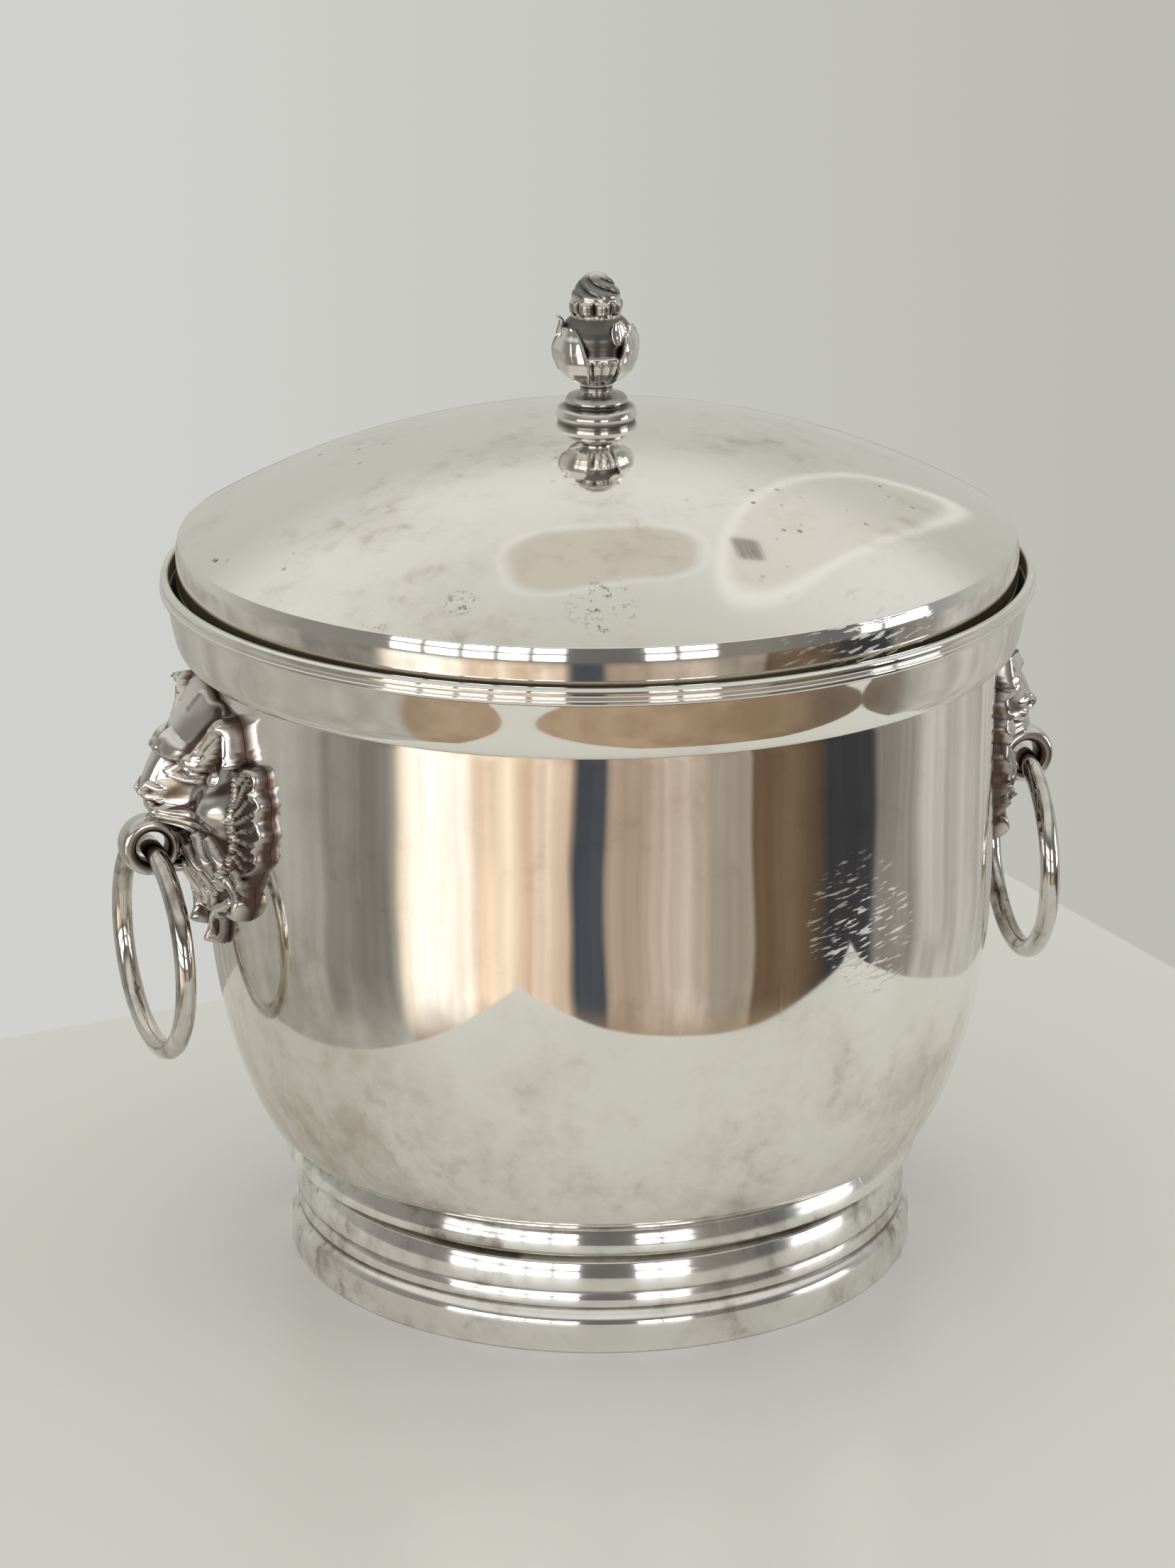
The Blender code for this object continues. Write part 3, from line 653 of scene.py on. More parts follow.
# lengths round the body (s), up (z) and out from its wall (h); one half, repeated on the other side
mask = {
    "middle": (0.0, 115.0),
    "around": 320,
    "across": 100,
    "back": 0.06,
    "skin": 2.3,
    "outline": [
        (0, 146.6), (5, 146.2), (9, 144.0), (12, 144.2), (16, 142.6), (20, 143.2), (22, 140),
        (22.6, 136), (24, 132.2), (27, 133.4), (30.6, 134.8), (32.6, 131.8), (32.0, 128.8),
        (34.2, 126), (32.8, 122.4), (34.4, 118.6), (32.4, 115.2), (33.0, 111.4), (29.6, 108.8),
        (28.2, 106.0), (25.2, 103.6), (25.4, 99.4), (22.8, 94.8), (18.6, 95.4), (15.4, 93.4),
        (11.4, 92.6), (10.0, 87.2), (7.0, 84.2), (4.0, 86.4), (2.6, 89.4), (0, 90.6),
    ],
    # height of the middle line, the share of it that the sides keep, and how far that reaches
    "profile": [
        (84, 1.5, 6.5), (88, 1.8, 7), (93, 2.5, 8), (97, 4.2, 9), (101, 6.4, 10), (105, 7.8, 12),
        (110, 9.0, 12), (113, 11.2, 10), (115.5, 14.2, 8.0), (118, 15.6, 6.8), (121, 16.0, 6.4),
        (124, 15.6, 7.2), (127, 14.5, 8.8), (131, 12.3, 9.6), (135, 10.3, 9.4), (139, 7.9, 8.8),
        (142, 5.4, 8), (146, 2.4, 7),
    ],
    "lumps": [  # s, z, spread round, spread up, height
        (13.5, 119.6, 5.6, 5.4, 5.6), (8.2, 127.8, 3.4, 2.3, -3.4), (8.3, 127.3, 1.9, 1.6, 2.6),
        (0, 121.2, 3.0, 2.0, 0.6), (2.7, 119.3, 0.9, 0.8, -1.8), (4.6, 116.5, 3.0, 2.4, 2.2),
        (18.4, 136.4, 2.6, 3.8, -1.3), (12.4, 141.4, 2.0, 3.0, -1.4),
        (28, 121, 3.6, 7.5, -0.7), (24, 98, 1.9, 2.6, 1.2),
        (6.8, 86.6, 1.8, 2.0, 1.2), (1.4, 94.3, 1.6, 1.2, 0.9), (4.8, 95.2, 1.6, 1.2, 0.9),
        (14, 108, 6.0, 5.0, 3.0), (25.4, 104.6, 1.9, 1.9, 1.2),
    ],
    "strands": [  # points, width, height, beads along it
        ([(2.0, 133.4), (5.4, 131.8), (9.6, 130.4), (13.2, 127.2)], 2.6, 1.5, 0),
        ([(4.9, 127.2), (6.6, 129.0), (9, 129.5), (11.8, 127.4)], 0.8, 1.2, 0),
        ([(5.4, 126.2), (7.4, 125.2), (9.4, 125.3), (11.4, 126.8)], 0.7, 0.9, 0),
        ([(0, 130), (0, 122.6)], 3.4, 0.7, 0),
        ([(3.9, 122.4), (2.4, 123.4), (1.2, 122.0), (1.8, 120.2), (3.6, 119.6)], 0.8, 1.1, 0),
        ([(0, 119.4), (0, 115.0)], 0.55, -1.1, 0),
        ([(0, 113.6), (5.5, 113.3), (9.6, 111.8), (12.2, 109.4)], 1.2, -2.6, 0),
        ([(3.6, 119.0), (9, 118.3), (14, 117.6)], 0.5, -0.5, 0),
        ([(3.8, 117.2), (9, 116.1), (14, 115.4)], 0.5, -0.5, 0),
        ([(4.2, 115.6), (8.4, 114.3), (12.6, 113.6)], 0.5, -0.4, 0),
        ([(11.0, 130.4), (13.0, 134.4), (16.2, 138.8), (20.4, 142.4)], 2.5, 3.9, 0),
        ([(12.0, 133.6), (14.8, 137.8), (19.0, 142)], 0.45, -1.0, 0),
        ([(12.6, 132.2), (15.8, 137), (19.4, 140.9)], 0.45, -1.0, 0),
        ([(20.8, 142.2), (21.6, 137.6), (22.4, 132.2)], 0.9, 3.4, 0),
        ([(24.4, 129), (27.4, 132.6), (30.4, 133.8), (31.8, 131.4), (31.2, 128.6)], 0.8, 1.5, 0),
        ([(30.8, 128.4), (33.2, 126), (31.8, 122.6)], 0.8, 1.4, 0),
        ([(31.6, 122.2), (33.4, 118.6), (31.4, 115.4)], 0.8, 1.4, 0),
        ([(31.2, 115.0), (32.0, 111.4), (28.8, 108.8), (25.6, 107.6)], 0.8, 1.5, 0),
        ([(22.8, 123), (26, 128.6), (29.6, 132.4)], 0.55, 0.9, 0),
        ([(22.8, 121), (27, 125.6), (31.2, 128.2)], 0.55, 0.9, 0),
        ([(22.8, 119), (27.4, 122.2), (32.4, 124.6)], 0.55, 0.9, 0),
        ([(22.8, 117), (27.6, 118.4), (31.4, 121.0)], 0.55, 0.9, 0),
        ([(22.6, 115), (27.0, 114.8), (32.4, 117.4)], 0.55, 0.9, 0),
        ([(22.2, 113), (26.4, 111.4), (31.2, 112.6)], 0.55, 0.9, 0),
        ([(21.6, 111), (25.0, 108.8), (28.6, 109.2)], 0.55, 0.9, 0),
        ([(22.3, 130.5), (22.0, 125), (21.0, 119.4)], 1.1, 1.2, 9),
        ([(21.2, 119), (21.4, 113), (20.2, 107.6), (17, 103.4)], 1.2, 1.5, 15),
        ([(3.4, 141.2), (4.0, 144), (5.2, 146)], 0.7, 0.6, 0),
        ([(1.4, 131.0), (2.0, 133.6), (1.6, 136.2)], 0.7, 0.6, 0),
        ([(10.8, 112.6), (15, 107.8), (15.4, 101.6)], 1.6, 1.6, 0),
        ([(14.4, 112.6), (18.4, 108.6), (18.8, 103.4)], 1.4, 1.5, 0),
        ([(7.4, 108.6), (11, 104.6), (11.6, 99.4)], 1.7, 1.7, 0),
        ([(0, 103.4), (0.4, 98.6), (0, 93.4)], 1.4, 1.3, 0),
        ([(2.9, 103.4), (3.6, 99.0), (2.8, 94.2)], 1.4, 1.3, 0),
        ([(5.8, 103.8), (7.4, 99.4), (6.4, 95.4)], 1.4, 1.4, 0),
        ([(8.8, 102.4), (10.8, 98.6), (9.6, 95.8)], 1.3, 1.3, 0),
        ([(0, 92.6), (3.4, 92.9), (6.2, 93.6)], 1.2, 0.9, 0),
        ([(18.6, 99.0), (15.6, 97.0), (12, 95.4), (8.6, 92.4), (7.2, 89.2), (6.8, 86.4)], 1.5, 1.7, 0),
        ([(19.8, 104.4), (23.2, 100.4), (22.6, 96.4), (19.2, 96.0)], 1.6, 1.8, 0),
        ([(22.0, 106.6), (25.4, 105.4), (25.4, 103)], 1.4, 1.5, 0),
        ([(3.6, 90.6), (4.4, 88.2), (5.4, 86.6)], 0.8, 0.8, 0),
    ],
    "eye": (15.0, 108.2),  # out and up: the middle of the hole that the ring hangs in
    "eyeMiddle": 5.3,
    "eyeThickness": 3.4,
    "eyeWidth": 7.4,
    "jaw": (8.6, 102.9),  # out and up: the middle of the lip under the eye
    "jawSize": (5.6, 3.5, 1.6),
}


# the distance to a line of points, and how far along it the nearest place is
def alongLine(s, z, points):
    best = np.full(s.shape, 1e9)
    share = np.zeros(s.shape)
    lengths = [math.dist(a, b) for a, b in zip(points, points[1:])]
    done = 0.0
    for (s0, z0), (s1, z1), length in zip(points, points[1:], lengths):
        t = np.clip(((s - s0) * (s1 - s0) + (z - z0) * (z1 - z0)) / length**2, 0, 1)
        away = np.hypot(s - s0 - t * (s1 - s0), z - z0 - t * (z1 - z0))
        nearer = away < best
        best = np.where(nearer, away, best)
        share = np.where(nearer, (done + t * length) / sum(lengths), share)
        done += length
    return best, share


def softened(values, reach, wrap=False):
    padded = np.pad(values, reach, mode="wrap" if wrap else "edge")
    kernel = np.hanning(2 * reach + 3)[1:-1]
    return np.convolve(padded, kernel / kernel.sum(), mode="valid")


def maskRadius(angles):
    middle = np.array(mask["middle"])
    half = np.array(mask["outline"], float) - middle
    whole = np.vstack([half, half[-2:0:-1] * (-1, 1)])
    bearing = np.arctan2(whole[:, 0], whole[:, 1]) % math.tau
    order = np.argsort(bearing)
    reach = np.hypot(whole[:, 0], whole[:, 1])
    plain = np.interp(angles, bearing[order], reach[order], period=math.tau)
    return softened(plain, 3, True)


def maskHeight(s, z):
    rows = np.array(mask["profile"], float)
    fine = np.linspace(82, 148, 265)
    ridge = softened(np.interp(fine, rows[:, 0], rows[:, 1]), 6)
    reach = softened(np.interp(fine, rows[:, 0], rows[:, 2]), 6)
    crown = np.interp(z, fine, ridge)
    wide = np.interp(z, fine, reach)
    side = np.abs(s)
    height = mask["skin"] + (crown - mask["skin"]) * np.exp(-((side / wide) ** 2.4))
    for s0, z0, across, tall, rise in mask["lumps"]:
        height += rise * np.exp(-(((side - s0) / across) ** 2) - ((z - z0) / tall) ** 2)
    for points, width, rise, beads in mask["strands"]:
        away, share = alongLine(side, z, points)
        slim = width * (1 - 0.25 * share)
        roll = np.sqrt(np.clip(1 - (away / slim) ** 2, 0, 1))
        if beads:
            roll = roll * (0.72 + 0.28 * np.cos(math.tau * beads * share))
        height += rise * roll
    return height


def onWall(s, z, h):
    angle = s / bucket["wall"]
    reach = bucket["wall"] + h
    return np.stack([reach * np.cos(angle), reach * np.sin(angle), z], axis=-1)


# how deep each point lies under the smoothed surface around it, from 0 to 1
def hollows(height, depth):
    rows = np.pad(height, ((4, 4), (0, 0)), mode="edge")
    shifts = [(i, j) for i in range(9) for j in (-6, -3, 0, 3, 6)]
    level = sum(np.roll(rows[i : i + height.shape[0]], j, 1) for i, j in shifts)
    return np.clip((level / len(shifts) - height) / depth, 0, 1)


def makeMask(side):
    s0, z0 = mask["middle"]
    angles = np.linspace(0, math.tau, mask["around"], endpoint=False)
    shares = np.linspace(0.008, 1, mask["across"])[:, None]
    out = maskRadius(angles)[None, :] * shares
    s = s0 + out * np.sin(angles)
    z = z0 + out * np.cos(angles)
    height = maskHeight(s, z)
    edge = np.clip((1 - shares) / 0.055, 0, 1)
    height = mask["back"] + (height - mask["back"]) * np.sqrt(1 - (1 - edge) ** 2)
    low = np.clip((4.2 - height) / 3.0, 0, 1)
    jowl = np.exp(-(((z - 108) / 8) ** 2)) * np.clip((np.abs(s) - 4) / 4, 0, 1)
    polish = np.exp(-(((z - 138) / 8) ** 2) - (s / 9) ** 2)
    stain = hollows(height, 0.7) * 0.9 + low * 0.45 + 0.16 + jowl * 0.28 - polish * 0.2
    behind = np.exp(-((s / 6.5) ** 2) - ((z - 109) / 4.5) ** 2)
    stain = np.clip(stain + behind * 0.7, 0, 1)
    face = onWall(s, z, height)
    rear = np.linspace(1, 0.02, 7)[:, None] * maskRadius(angles)[None, :]
    back = onWall(s0 + rear * np.sin(angles), z0 + rear * np.cos(angles), mask["back"])
    skin = np.vstack([face, back[1:]])
    stains = np.vstack([stain, np.full(back[1:].shape[:2], 0.6)])
    top = onWall(s0, z0, maskHeight(np.array([s0]), np.array([z0]))[0])
    grids = [(skin, stains, (top, onWall(s0, z0, mask["back"])))]
    turn = np.linspace(0, math.tau, 96, endpoint=False)
    around = np.linspace(0, math.tau, 32, endpoint=False)
    a, b = np.meshgrid(turn, around, indexing="ij")
    bulge = np.abs(np.cos(b)) ** 0.75 * np.sign(np.cos(b)) * mask["eyeThickness"] / 2
    across = np.abs(np.sin(b)) ** 0.75 * np.sign(np.sin(b)) * mask["eyeWidth"] / 2
    reach = mask["eyeMiddle"] + bulge * (1 + 0.12 * np.cos(a - 0.6))
    outward, upward = mask["eye"]
    hook = np.stack([bucket["wall"] + outward + reach * np.cos(a), across, upward + reach * np.sin(a)], -1)
    hook = np.vstack([hook, hook[:1]])
    # the eye's inner face, round its hole, is darkened: painted shade inside the hole
    stainAndShade = 0.22 + 0.78 * np.clip(0.3 - np.cos(b) * 1.6, 0, 1)
    grids.append((hook, np.vstack([stainAndShade, stainAndShade[:1]]), (None, None)))
    rise = np.linspace(-1, 1, 17)[1:-1, None]
    girth = np.sqrt(1 - rise**2)
    around = np.linspace(0, math.tau, 40, endpoint=False)[None, :]
    outward, upward = mask["jaw"]
    deep, wide, tall = mask["jawSize"]
    reach = bucket["wall"] + outward
    jaw = np.stack([
        reach + girth * np.cos(around) * deep,
        girth * np.sin(around) * wide,
        upward + rise * tall + 0 * around,
    ], -1)
    ends = ((reach, 0, upward - tall), (reach, 0, upward + tall))
    grids.append((jaw, np.full(jaw.shape[:2], 0.5), ends))
    if side == "left":
        about = (-1, -1, 1)
        grids = [
            (places * about, stain, tuple(e if e is None else np.array(e) * about for e in ends))
            for places, stain, ends in grids
        ]
    made = sheetMesh(f"{side}Mask", grids, "castSilver")
    weld(made.data, 2 * weldDistance)
    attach(made, "bucket")
    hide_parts(f"{side}_lion_mask")


for side in ("left", "right"):
    makeMask(side)
print("lion masks done")


bud = {
    "facets": 288,
    "profile": [
        (3.8, 207.5), (4.0, 208.2), (5.6, 209.4), (7.4, 211.0), (8.6, 212.9), (9.0, 214.3),
        (9.05, 214.9), (8.6, 215.3), (8.1, 215.2), (8.1, 216.0), (8.5, 217.6), (8.5, 219.2),
        (7.9, 220.9), (6.9, 222.3), (5.7, 223.4), (5.1, 223.9), (5.4, 225.2), (5.5, 226.4), (5.3, 227.3),
        (5.7, 227.7), (5.5, 228.5), (4.9, 229.6), (4.2, 230.7), (3.4, 231.8), (2.3, 232.8),
        (1.2, 233.3), (0.3, 233.48),
    ],
    "flutes": 22,
    "curls": 8,
    "spirals": 5,
    "outerLeaf": [
        (3.9, 208.1), (6.4, 209.4), (8.3, 211.3), (9.4, 213.8), (9.8, 216.3), (9.3, 218.8),
        (8.2, 220.6), (7.5, 221.6),
    ],
    "innerLeaf": [(8.75, 218.0), (8.6, 219.8), (8.1, 221.4), (7.9, 222.6), (8.1, 223.6)],
    # each kind's half width and first turn in degrees, its thickness and how far its tip curls out
    "leaves": [("outerLeaf", 38, -65.5, 0.7, 0.7), ("innerLeaf", 15, -99.5, 0.4, 0.8)],
    "leafCopies": 3,
    "leafRows": 44,
    "leafColumns": 41,
}


def smoothLine(points, count):
    rows = np.array(points, float)
    length = np.concatenate([[0], np.cumsum(np.hypot(*np.diff(rows, axis=0).T))])
    even = np.linspace(0, length[-1], count)
    reach = max(1, count // 45)
    return softened(np.interp(even, length, rows[:, 0]), reach), np.interp(even, length, rows[:, 1])


def budCore():
    r, z = smoothLine(bud["profile"], 230)
    angle = np.linspace(0, math.tau, bud["facets"], endpoint=False)[None, :]
    r, z = r[:, None], z[:, None]

    def band(low, high, soft):
        return np.clip((z - low) / soft, 0, 1) * np.clip((high - z) / soft, 0, 1)

    flute = np.abs(np.sin(angle * bud["flutes"] / 2)) ** 0.6
    curl = np.abs(np.cos(angle * bud["curls"] / 2)) ** 0.7
    turn = (z - 227.6) * 0.55
    scales = np.abs(np.sin((angle + turn) * bud["spirals"] / 2)) ** 0.5
    cup, ruffle, cone = band(208.8, 214.6, 0.7), band(223.6, 227.6, 1.0), band(227.9, 233.2, 0.9)
    raised = cup * (flute - 1) * 0.75 + ruffle * (curl * 1.35 - 0.5) + cone * (scales - 0.8) * 0.75
    wide = np.maximum(r + raised, 0.05)
    stain = 0.7 * band(215.0, 223.8, 0.5) + cup * (1 - flute) * 0.7
    stain = stain + ruffle * (0.25 + (1 - curl) * 0.6) + cone * (0.5 + (1 - scales) * 0.3) + 0.12
    places = np.stack([wide * np.cos(angle), wide * np.sin(angle), z + 0 * angle], -1)
    return places, np.clip(stain, 0, 1), ((0, 0, 207.5), (0, 0, 233.5))


# a leaf on the front of the bud: its face and its back as one closed sheet with a rolled edge
def budLeaf(profile, half, thick, tip):
    rows, columns = bud["leafRows"], bud["leafColumns"]
    r, z = smoothLine(profile, rows)
    v = np.linspace(0, 1, rows)
    width = half * np.sin(math.pi * (0.06 + 0.88 * v) ** 0.85) ** 0.55
    u = np.linspace(-1, 1, columns)
    lip = np.clip((np.abs(u) - 0.80) / 0.20, 0, 1)
    angle = np.radians(width[:, None] * u[None, :] - 90)
    lift = 0.55 * lip**2 + tip * np.clip((v[:, None] - 0.86) / 0.14, 0, 1) ** 1.5
    outer = r[:, None] + lift + 0.22 * (1 - (u * 2.5) ** 2).clip(0)
    inner = r[:, None] - thick + lift * 0.7 + 0 * u
    sides = []
    for wide, bearing in ((outer, angle), (inner[:, ::-1], angle[:, ::-1])):
        sides.append(np.stack([wide * np.cos(bearing), wide * np.sin(bearing), z[:, None] + 0 * u], -1))
    loop = np.concatenate(sides, axis=1)
    shown = 0.05 + 0.35 * (1 - lip)[None, :] * (v[:, None] < 0.12) + 0 * lift
    stain = np.concatenate([shown, np.full((rows, columns), 0.6)], axis=1)
    return loop, stain, (loop[0].mean(axis=0), loop[-1].mean(axis=0))


# copies of a shape, evenly turned round Z
def makeRosetteTree():
    tree = bpy.data.node_groups.new("rosette", "GeometryNodeTree")
    face = tree.interface
    face.new_socket("Shape", in_out="INPUT", socket_type="NodeSocketGeometry")
    face.new_socket("Copies", in_out="INPUT", socket_type="NodeSocketInt")
    face.new_socket("First Turn", in_out="INPUT", socket_type="NodeSocketFloat")
    face.new_socket("Finish", in_out="INPUT", socket_type="NodeSocketMaterial")
    face.new_socket("Rosette", in_out="OUTPUT", socket_type="NodeSocketGeometry")
    start = Wire(tree)
    shape = start.node("NodeGroupInput")
    copies, firstTurn, coat = shape.also(1), shape.also(2), shape.also(3)
    spots = start.node("GeometryNodeMeshLine", None, {"Count": copies, "Offset": (0, 0, 0)})
    index = start.node("GeometryNodeInputIndex")
    angle = firstTurn + index * math.tau / copies
    turn = start.node("ShaderNodeCombineXYZ", None, {2: angle})
    sockets = {"Points": spots, "Instance": shape, "Rotation": turn}
    placed = start.node("GeometryNodeInstanceOnPoints", None, sockets)
    real = start.node("GeometryNodeRealizeInstances", None, {0: placed})
    coated = start.node("GeometryNodeSetMaterial", None, {"Geometry": real, "Material": coat})
    end = tree.nodes.new("NodeGroupOutput")
    tree.links.new(coated.socket, end.inputs[0])
    return tree


def makeBud():
    rosetteTree = makeRosetteTree()
    whole = sheetMesh("finialBud", [budCore()], "budSilver")
    parts = [whole.data]
    for kind, half, turn, thick, tip in bud["leaves"]:
        made = sheetMesh("budLeaf", [budLeaf(bud[kind], half, thick, tip)], "budSilver")
        rosette = made.modifiers.new("rosette", "NODES")
        rosette.node_group = rosetteTree
        setInput(rosette, "Copies", bud["leafCopies"])
        setInput(rosette, "First Turn", math.radians(turn))
        setInput(rosette, "Finish", finish["budSilver"])
        graph = bpy.context.evaluated_depsgraph_get()
        parts.append(bpy.data.meshes.new_from_object(made.evaluated_get(graph)))
        bpy.data.objects.remove(made)
    work = bmesh.new()
    for part in parts:
        work.from_mesh(part)
    bmesh.ops.recalc_face_normals(work, faces=work.faces)
    work.to_mesh(whole.data)
    work.free()
    smooth(whole.data, castSharp)
    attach(whole, "lid")
    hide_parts("finial_bud")


makeBud()
print("finial bud done")

# what stays as the frame gives it: studs, washers and nuts in plain steel, the rest in cast silver
for name, node in frame["nodes"].items():
    kind = name.rsplit("_", 1)[-1]
    coat = "plainSteel" if kind in ("stud", "washer", "nut") else "castSilver"
    if node.data.materials:
        node.data.materials[0] = finish[coat]
    else:
        node.data.materials.append(finish[coat])
print("fixings done")


view = {
    "turn": 17.5,  # degrees from the camera's line to the plane square to the handles
    "distance": 1013.7,
    "height": 449.2,
    "pitch": 18.43,
    "aside": 0.0025,  # radians
    "tilt": -0.0055,
    "lens": 104.6,
}
table = {
    "corners": [(-112, -318), (312, -130), (116, 256), (-222, 91)],
    "thickness": 22,
    "colour": (0.93, 0.93, 0.905),
    "rough": 0.32,
}


def turned(x, y, z=0.0):
    a = math.radians(-view["turn"])
    return Vector((x * math.cos(a) - y * math.sin(a), x * math.sin(a) + y * math.cos(a), z)) * mm


def makeTable():
    corners = [turned(*c) for c in table["corners"]]
    work = bmesh.new()
    top = [work.verts.new(c) for c in corners]
    slab = work.faces.new(top)
    lowered = bmesh.ops.extrude_face_region(work, geom=[slab])
    drop = Vector((0, 0, -table["thickness"] * mm))
    bottom = [v for v in lowered["geom"] if isinstance(v, bmesh.types.BMVert)]
    bmesh.ops.translate(work, verts=bottom, vec=drop)
    bmesh.ops.recalc_face_normals(work, faces=work.faces)
    mesh = bpy.data.meshes.new("tableTop")
    work.to_mesh(mesh)
    work.free()
    made = newObject("tableTop", mesh)
    material = bpy.data.materials.new("whiteLacquer")
    material.use_nodes = True
    shader = material.node_tree.nodes["Principled BSDF"]
    shader.inputs["Base Color"].default_value = rgb(table["colour"])
    shader.inputs["Roughness"].default_value = table["rough"]
    mesh.materials.append(material)


# the room is a soft backdrop: pale walls and ceiling, a warm floor with darker uprights, and windows;
# degrees are round from the camera's line, positive to its right, or up from level
room = {
    "floor": [
        (-180, (0.42, 0.42, 0.39)), (-100, (0.42, 0.41, 0.38)), (-88, (0.40, 0.39, 0.36)),
        (-84, (0.24, 0.23, 0.21)), (-61, (0.24, 0.23, 0.21)), (-57, (1.05, 0.92, 0.76)),
        (-52, (1.25, 1.22, 1.12)), (-38, (1.20, 1.12, 1.0)), (-33, (0.92, 0.72, 0.53)),
        (-25, (1.0, 0.84, 0.66)), (-20, (0.74, 0.55, 0.40)), (-14, (0.92, 0.76, 0.62)),
        (-8, (0.66, 0.50, 0.38)), (-6.5, (0.07, 0.08, 0.095)), (2, (0.07, 0.08, 0.095)),
        (3, (0.42, 0.32, 0.25)), (12, (0.44, 0.34, 0.27)), (18, (0.60, 0.50, 0.42)),
        (30, (0.52, 0.44, 0.36)), (32, (0.38, 0.34, 0.28)), (44, (0.36, 0.31, 0.25)),
        (45, (0.13, 0.09, 0.055)), (56, (0.18, 0.125, 0.08)), (66, (0.09, 0.065, 0.045)),
        (69, (0.045, 0.045, 0.05)), (84, (0.05, 0.05, 0.055)), (87, (0.25, 0.23, 0.21)),
        (102, (0.30, 0.28, 0.26)), (105, (0.50, 0.49, 0.465)), (180, (0.44, 0.44, 0.41)),
    ],
    "walls": [
        (-180, (0.56, 0.56, 0.52)), (-120, (0.50, 0.50, 0.46)), (-85, (0.26, 0.25, 0.23)),
        (-62, (0.24, 0.23, 0.21)), (-40, (0.27, 0.25, 0.22)), (-5, (0.16, 0.15, 0.145)),
        (5, (0.15, 0.145, 0.14)), (40, (0.24, 0.22, 0.19)), (64, (0.15, 0.145, 0.14)),
        (86, (0.18, 0.175, 0.17)), (115, (0.46, 0.46, 0.43)), (180, (0.56, 0.56, 0.52)),
    ],
    # plain brown boards below, which only the faces that look down can show
    "boards": [
        (-180, (0.42, 0.41, 0.37)), (-58, (0.42, 0.41, 0.37)), (-56, (0.37, 0.28, 0.20)),
        (-15, (0.42, 0.31, 0.215)), (20, (0.38, 0.28, 0.19)), (50, (0.29, 0.21, 0.135)),
        (70, (0.16, 0.12, 0.09)), (92, (0.20, 0.17, 0.14)), (102, (0.48, 0.47, 0.44)),
        (180, (0.42, 0.41, 0.37)),
    ],
    "boardsBelow": (-31.0, -22.5),
    "wallsAbove": (-12.0, -7.0),
    "ceilingAbove": (22.0, 40.0),
    "ceiling": [(0.74, 0.73, 0.69), (0.58, 0.565, 0.51)],  # above the windows and overhead
    "panes": [
        (-55, -47), (-45, -37), (-35, -27.5), (-25.5, -18), (-16, -8), (13, 20), (22, 31),
        (74, 80), (82, 97),
    ],
    "paneColour": (3.0, 3.0, 3.0),
    "streaks": [(0.86, 0.85, 0.84), (1.08, 1.08, 1.08)],
    "smudges": [(0.88, 0.85, 0.82), (1.13, 1.13, 1.13)],
    "backdrop": [(0.645, 0.65, 0.62), (0.50, 0.50, 0.455)],  # behind the bucket, left and right
}


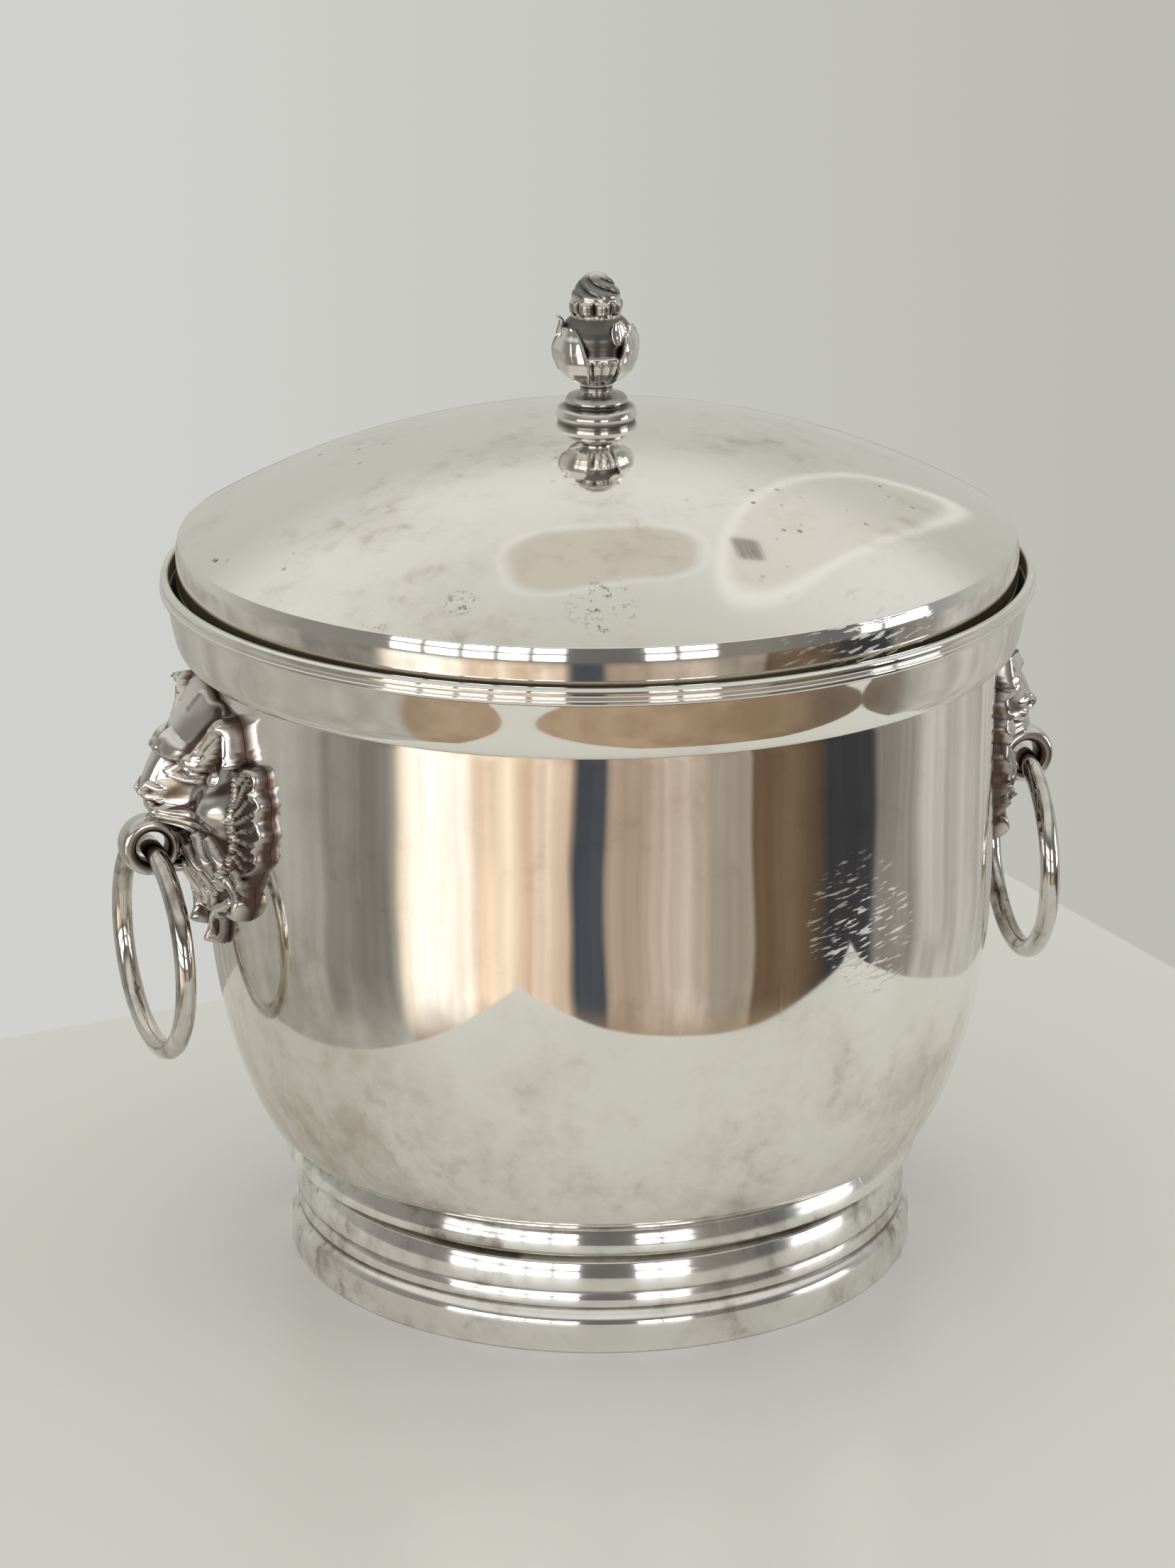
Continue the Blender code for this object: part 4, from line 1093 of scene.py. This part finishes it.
def makeRoom():
    world = bpy.data.worlds.new("softRoom")
    scene.world = world
    world.use_nodes = True
    shader = world.node_tree.nodes["Background"]
    start = Wire(world.node_tree)
    toward = start.node("ShaderNodeTexCoord", out=0)
    squared = {"Vector": toward, "Rotation": (0, 0, math.radians(view["turn"]))}
    x, y, z = split(start.node("ShaderNodeMapping", None, squared))
    bearing = start.maths("ARCTAN2", x, y * -1) / math.tau + 0.5  # 0.5 is towards the camera
    lift = start.maths("ARCSINE", z) * (180 / math.pi)

    def at(degrees):
        return 0.5 + degrees / 360

    def around(stops):
        placed = [(at(degrees), colour) for degrees, colour in stops]
        return start.node("ShaderNodeValToRGB", {"stops": placed}, {0: bearing})

    # fine noise that multiplies a colour by anything between the two tones
    def uneven(colour, across, upward, detail, spread, tones):
        spot = start.node("ShaderNodeCombineXYZ", None, {0: bearing * across, 1: lift * upward})
        grain = start.node("ShaderNodeTexNoise", None, {"Vector": spot, "Scale": 1.0, "Detail": detail})
        tone = blendColour(grain.between(0.5 - spread, 0.5 + spread), *map(rgb, tones))
        tinted = {"data_type": "RGBA", "blend_type": "MULTIPLY"}
        return start.node("ShaderNodeMix", tinted, {0: 1.0, 6: colour, 7: tone}, out=2)

    floor = uneven(around(room["floor"]), 110.0, 0.05, 4.0, 0.25, room["streaks"])
    floor = blendColour(lift.between(*room["boardsBelow"]), around(room["boards"]), floor)
    floor = uneven(floor, 34.0, 0.16, 5.0, 0.2, room["smudges"])
    light = blendColour(lift.between(*room["wallsAbove"]), floor, around(room["walls"]))
    ceiling = blendColour(lift.between(42.0, 80.0), *map(rgb, room["ceiling"]))
    light = blendColour(lift.between(*room["ceilingAbove"]), light, ceiling)
    shade = lift.between(-7.0, -5.5) * (1 - lift.between(15.0, 16.5))
    bars = 1 - lift.between(3.2, 3.8) * (1 - lift.between(5.4, 6.0))
    edge = 0.3  # degrees over which a pane's side fades
    panes = 0
    for low, high in room["panes"]:
        pane = bearing.between(at(low - edge), at(low)) * (1 - bearing.between(at(high), at(high + edge)))
        panes = pane + panes
    light = blendColour(panes * shade * bars, light, rgb(room["paneColour"]))
    # shapes on the ceiling beyond the bucket, on a flat map of directions seen from below
    across = x / (1 + z)
    beyond = y / (1 + z)
    overhead = z.between(0.1, 0.2)

    # the distance from a box with round corners, and below 0 inside it
    def softBox(u, v, wide, tall, corner, slant, shear):
        du = across - u - (beyond - v) * slant
        dv = beyond - v - du * shear
        du = (du.absolute() - wide).greater(0.0)
        dv = (dv.absolute() - tall).greater(0.0)
        return (du * du + dv * dv).root() - corner

    def filled(colour, away, soft, strength, tint):
        return blendColour((1 - away.between(-soft, soft)) * overhead * strength, colour, rgb(tint))

    def outlined(colour, away, width, strength, tint):
        line = 1 - away.absolute().between(0.0, width)
        return blendColour(line * overhead * strength, colour, rgb(tint))

    near = softBox(0.006, 0.290, 0.038, 0.014, 0.040, 0.0, 0.22)
    du = (across - 0.182 - (beyond - 0.50) * 0.19) / 0.056
    dv = (beyond - 0.50) / 0.272
    far = ((du * du + dv * dv).root() - 1) * 0.056
    scrap = softBox(0.126, 0.336, 0.007, 0.018, 0.005, -0.25, 0.2)
    light = filled(light, far, 0.006, 0.35, (0.64, 0.60, 0.52))
    light = outlined(light, far, 0.008, 0.55, (0.93, 0.915, 0.86))
    light = filled(light, near, 0.003, 0.85, (0.58, 0.53, 0.45))
    light = outlined(light, near - 0.009, 0.006, 0.35, (0.90, 0.88, 0.82))
    light = filled(light, scrap, 0.002, 0.85, (0.25, 0.23, 0.20))
    seen = start.node("ShaderNodeLightPath")
    backdrop = blendColour(x.between(-0.16, 0.16), *map(rgb, room["backdrop"]))
    light = blendColour(seen, light, backdrop)
    # the table gets a little more light than its own plain colour would give it
    strength = seen.also(2) * 0.14 + 1.0
    start.tree.links.new(strength.socket, shader.inputs["Strength"])
    start.tree.links.new(light.socket, shader.inputs["Color"])


def makeCamera():
    lens = bpy.data.cameras.new("camera")
    lens.lens = view["lens"]
    lens.sensor_width = 36.0
    lens.clip_start = 0.05
    eye = newObject("camera", lens)
    turn = Matrix.Rotation(view["aside"] - math.radians(view["turn"]), 4, "Z")
    tip = Matrix.Rotation(math.radians(90 - view["pitch"]), 4, "X")
    lean = Matrix.Rotation(view["tilt"], 4, "Z")
    spot = turned(0, -view["distance"], view["height"])
    eye.matrix_world = Matrix.Translation(spot) @ turn @ tip @ lean
    scene.camera = eye


makeTable()
makeRoom()
makeCamera()
scene.view_settings.view_transform = "Standard"
print("table, room and camera done")
